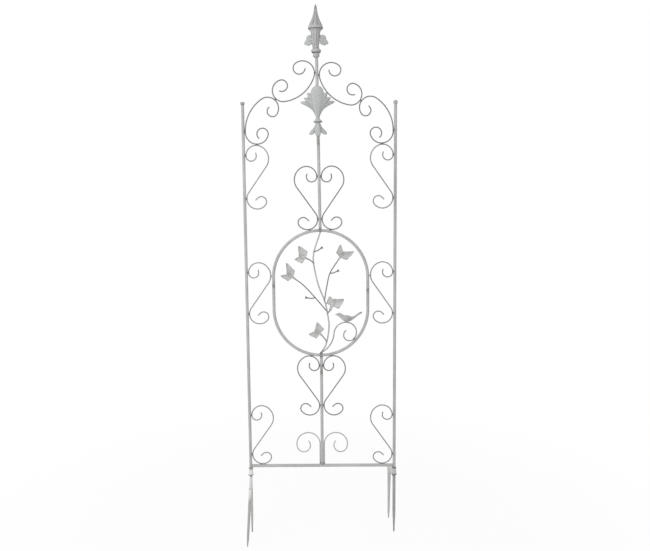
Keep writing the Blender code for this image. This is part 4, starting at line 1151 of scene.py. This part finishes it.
def socket(name, left):
    """Sleeve with a flared, rolled rim: a radius for each height. Painted shade darkens it under the rim and
    at its top, where the post goes in; the right one's painted shade is darker.
    """
    node = f"{name}_socket"
    low, high = span(node, 2)
    rim = thickness(node, 0) / 2
    bore = 0.0039
    profile = turned((
        (bore, low + 0.0002), (rim - 0.0006, low), (rim, low + 0.0010), (rim - 0.0004, low + 0.0022),
        (rim - 0.0016, low + 0.0042), (0.0071, low + 0.0085), (0.0069, high - 0.0045),
        (0.0073, high - 0.0024), (0.0071, high - 0.0006), (0.0060, high), (bore, high)))
    z = profile[:, 1:]
    # Painted shade: a dark band under the flared rim, stronger on the right sleeve, and one at the top where
    # the post goes in.
    dark = (1.0 if left else 1.7) * hump(z, low, 0.0030) + 0.8 * (z > high - 0.0038)
    shell = Shell().add(lathe(profile, middle(node)[0]), dark)
    # The left sleeve takes the near-white painted highlight; the right one foot paint with less of it.
    piece(f"{node}_sleeve", shell, "highlit_foot" if left else "foot", [node])


SPIGOT_LENGTH = 0.023
CROSSBAR_RADIUS = 0.0048
CROSSBAR_INSET = 0.003  # from the stake's axis to the crossbar's end


def fork(name, left):
    """Stake, crossbar and outer prong. The stake is a turned form with slight forging marks, whose tip and
    shoulder are darker. The crossbar is a round bar with eased ends."""
    stake, crossbar, prong = (f"{name}_{part}" for part in ("stake", "crossbar", "outer_prong"))
    body = f"{name}_fork"
    x = middle(stake)[0]
    low, high = span(stake, 2)
    shoulder = high - SPIGOT_LENGTH
    full = 0.0046 if left else 0.0052
    profile = curve_path((
        (0.0018, low), (0.0024, low + 0.003), (0.0034, low + 0.030), (full - 0.0001, low + 0.070),
        (full, low + 0.110), (full, shoulder - 0.001), (0.0044, shoulder), (0.0035, shoulder + 0.0004),
        (0.0035, high - 0.001), (0.0028, high)), steps=8)
    z = profile[:, 1:]
    dark = 0.6 * np.exp(-((z - low) / 0.016)) + 0.5 * hump(z, shoulder, 0.002)
    shell = Shell().add(lathe(profile, x, sides=24, flute=forged), dark)
    # The right stake takes the darker foot paint: painted shade away from the key light.
    piece(f"{stake}_forging", shell, "foot" if left else "shaded_foot", [stake], body)
    centre = middle(crossbar)
    out = centre - (x, 0, centre[2])
    inset = CROSSBAR_INSET * unit(out)
    start = (x, 0, centre[2]) + inset
    section = circle(around(20), CROSSBAR_RADIUS)
    eased = 1 - 0.0008 / CROSSBAR_RADIUS
    bar = level_bar(start, start + 2 * (out - inset), section, count=26, eased=eased)
    # Both crossbars take the near-white painted highlight, for light falling on their tops from above.
    piece(f"{crossbar}_bar", Shell().add(bar, 0.05), "highlit_foot", [crossbar], body)
    # The left prong takes the near-white painted highlight at its head; the right one a paler foot paint with
    # less of it.
    paint = "highlit_foot" if left else "pale_foot"
    piece(f"{prong}_forging", outer_prong(prong, left), paint, [prong], body)


def forged(z, a):
    """Slight facets left by the hammer: the radius loses 3.5 % by the squared cosine of 4a + 25z, and 2 % by
    the squared sine of 90z + 2a."""
    return 1 - 0.035 * np.cos(4 * a + 25 * z) ** 2 - 0.02 * np.sin(90 * z + 2 * a) ** 2


def outer_prong(node, left):
    """Tapered prong: its axis runs from its head at the crossbar's end to its point, which leans aside. A row
    is (share of its length, radius)."""
    low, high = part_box(node)
    points = np.array([v.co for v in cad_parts[node].data.vertices])
    foot = points[points[:, 2] < low.z + 0.0005].mean(0)
    head = points[points[:, 2] > high.z - 0.0005].mean(0)
    rows = np.array([(0, 0.0014), (0.02, 0.0019), (0.08, 0.0030), (0.17, 0.0040), (0.45, 0.0045),
                     (0.85, 0.0054), (0.96, 0.0060), (0.985, 0.0055), (1.0, 0.0040)])
    rows[:, 1] *= np.interp(rows[:, 0], (0.3, 1.0), (1.0, 0.90 if left else 1.22))
    t, radius = curve_path(rows, steps=7).T
    line = foot + t[:, None] * (head - foot)
    sides = 22
    rings = tube(line, radius, sides=sides)
    centres = rings.mean(1, keepdims=True)
    rings = centres + (rings - centres) * forged(line[:, 2:], around(sides))[..., None]
    dark = 0.6 * np.exp(-t / 0.07) + 0.35 * (t > 0.985)
    return Shell().add(rings, dark[:, None])


# Weld beads


class TRELLIS_OT_weld_beads(bpy.types.Operator):
    """A small bead of weld wherever two wires or tubes touch"""

    bl_idname = "trellis.weld_beads"
    bl_label = "Weld beads"

    def execute(self, context):
        if not joints():
            raise RuntimeError("no two lines of the trellis touch, so there is nothing to weld")
        scrolls, vine = Shell(), Shell()
        for x, z, angle, radius, *nodes in joints():
            thin = any(word in node for node in nodes for word in ("vine", "leaf", "twig"))
            lengths = (sizes().weld * (0.75 if thin else 1.0), 0.55 * radius + 0.0004, 0.82 * radius)
            lump = bead((x, 0.0, z), (-math.sin(angle), 0.0, math.cos(angle)), lengths)
            (vine if thin else scrolls).add(lump, 0.60)
        piece("scroll_weld_beads", scrolls, "dark_wire")
        piece("vine_weld_beads", vine, "dark_wire")
        return {"FINISHED"}


# Stage


FLOOR_HALF = 4.0
FLOOR_DROP = 0.0002  # the floor lies this far under the stake tips
SOFTBOXES = (  # name, place, power, side, what it is aimed at
    ("key_softbox", (-1.8, -2.1, 2.5), 50.0, 2.0, (0.0, 0.0, 0.9)),
    ("fill_softbox", (2.4, -2.2, 1.5), 9.0, 2.2, (0.0, 0.0, 0.9)),
    ("back_softbox", (0.6, 2.6, 2.6), 18.0, 2.2, (0.0, 0.0, 1.0)),
)
CAMERA_PLACE = (0.0363, -2.3215, 1.1959)
CAMERA_TURN = (0.536, 7.458, 0.505)  # yaw, pitch below level and roll, in degrees
FOCAL_PIXELS, PHOTO_WIDTH = 710.95, 650
SENSOR_WIDTH = 36.0


class TRELLIS_OT_stage(bpy.types.Operator):
    """Pale floor, soft light and the camera"""

    bl_idname = "trellis.stage"
    bl_label = "Floor, light and camera"

    def execute(self, context):
        floor()
        room_light()
        for softbox in SOFTBOXES:
            soft_light(*softbox)
        camera()
        return {"FINISHED"}


def white_to_the_eye(paint):
    """1 for a ray from the camera, in a reflection or through glass, and 0 for the rest."""
    rays = paint.add("ShaderNodeLightPath").outputs
    seen, glossy, through = (Number(paint, rays[f"Is {kind} Ray"])
                             for kind in ("Camera", "Glossy", "Transmission"))
    return (seen + glossy + through).kept()


def floor():
    """Level square under the stake tips. Its paint is matt, and glows to the eye so that it reads white and
    keeps a soft shadow near the trellis."""
    square = FLOOR_HALF * np.array([(-1, -1), (1, -1), (1, 1), (-1, 1)])
    points = np.insert(square, 2, CAD_BOX[0][2] - FLOOR_DROP, axis=1)
    mesh = bpy.data.meshes.new("floor")
    mesh.from_pydata(points.tolist(), [], [(0, 1, 2, 3)])
    material = bpy.data.materials.new("floor_paint")
    paint = Paint(material)
    distance = paint.add("ShaderNodeVectorMath", {0: paint.object_place()}, operation="LENGTH")
    far = Number(paint, distance.outputs["Value"])
    glow = white_to_the_eye(paint) * (far.step(0.5, 1.6) * 0.10 + 0.90)
    matt = paint.add("ShaderNodeBsdfPrincipled", {"Base Color": rgba(colours().floor), "Roughness": 0.9})
    white = paint.add("ShaderNodeEmission", {"Color": WHITE, "Strength": 1.0})
    mixed = paint.add("ShaderNodeMixShader", {0: glow, 1: matt.outputs[0], 2: white.outputs[0]})
    paint.add("ShaderNodeOutputMaterial", {"Surface": mixed.outputs[0]})
    mesh.materials.append(material)
    obj = placed("floor", mesh)


def room_light():
    """White behind the trellis, and an even grey light from all round."""
    world = bpy.data.worlds.new("pale_room")
    bpy.context.scene.world = world
    room = Paint(world)
    strength = white_to_the_eye(room) * 0.45 + 0.55
    back = room.add("ShaderNodeBackground", {"Color": WHITE, "Strength": strength})
    room.add("ShaderNodeOutputWorld", {"Surface": back.outputs[0]})


def soft_light(name, place, energy, size, aim):
    """Square lamp whose face, its -Z side, is turned to what it is aimed at."""
    light = bpy.data.lights.new(name, "AREA")
    light.energy = energy
    light.size = size
    obj = placed(name, light)
    obj.location = place
    obj.rotation_euler = (Vector(aim) - Vector(place)).to_track_quat("-Z", "Y").to_euler()


def camera():
    """Camera at the photograph's place, turned by its yaw, its pitch below level and its roll."""
    yaw, pitch, roll = (math.radians(angle) for angle in CAMERA_TURN)
    lens = bpy.data.cameras.new("camera")
    lens.sensor_fit = "HORIZONTAL"
    lens.sensor_width = SENSOR_WIDTH
    lens.lens = FOCAL_PIXELS / PHOTO_WIDTH * SENSOR_WIDTH
    lens.dof.use_dof = False
    lens.clip_end = 50.0
    obj = placed("camera", lens)
    turn = Matrix.Rotation(yaw, 4, "Z") @ Matrix.Rotation(math.pi / 2 - pitch, 4, "X")
    obj.matrix_world = Matrix.Translation(CAMERA_PLACE) @ turn @ Matrix.Rotation(-roll, 4, "Z")
    bpy.context.scene.camera = obj
    bpy.context.scene.view_settings.view_transform = "Standard"


OPERATORS = (
    TRELLIS_OT_stage, TRELLIS_OT_posts_and_rods, TRELLIS_OT_ring, TRELLIS_OT_side_scrolls,
    TRELLIS_OT_heart_scrolls, TRELLIS_OT_arch_scrolls, TRELLIS_OT_vine, TRELLIS_OT_leaf_pairs,
    TRELLIS_OT_perch_and_bird, TRELLIS_OT_plume, TRELLIS_OT_finial, TRELLIS_OT_ground_forks,
    TRELLIS_OT_weld_beads,
)


class TRELLIS_PT_pieces(bpy.types.Panel):
    """Lists the pieces of the trellis in the sidebar"""

    bl_label = "Trellis"
    bl_idname = "TRELLIS_PT_pieces"
    bl_space_type = "VIEW_3D"
    bl_region_type = "UI"
    bl_category = "Trellis"

    def draw(self, context):
        for operator in OPERATORS:
            self.layout.operator(operator.bl_idname)


CLASSES = (TrellisSizes, TrellisColours, *OPERATORS, TRELLIS_PT_pieces)


def register():
    """Add the classes, and the sizes and colours of the scene."""
    for cls in CLASSES:
        bpy.utils.register_class(cls)
    bpy.types.Scene.trellis_sizes = PointerProperty(type=TrellisSizes)
    bpy.types.Scene.trellis_colours = PointerProperty(type=TrellisColours)


def unregister():
    """Take away what register added."""
    del bpy.types.Scene.trellis_colours
    del bpy.types.Scene.trellis_sizes
    for cls in reversed(CLASSES):
        bpy.utils.unregister_class(cls)


def main():
    """Make every group of pieces in order."""
    register()
    for operator in OPERATORS:
        group, name = operator.bl_idname.split(".")
        getattr(getattr(bpy.ops, group), name)()


if __name__ == "__main__":
    main()
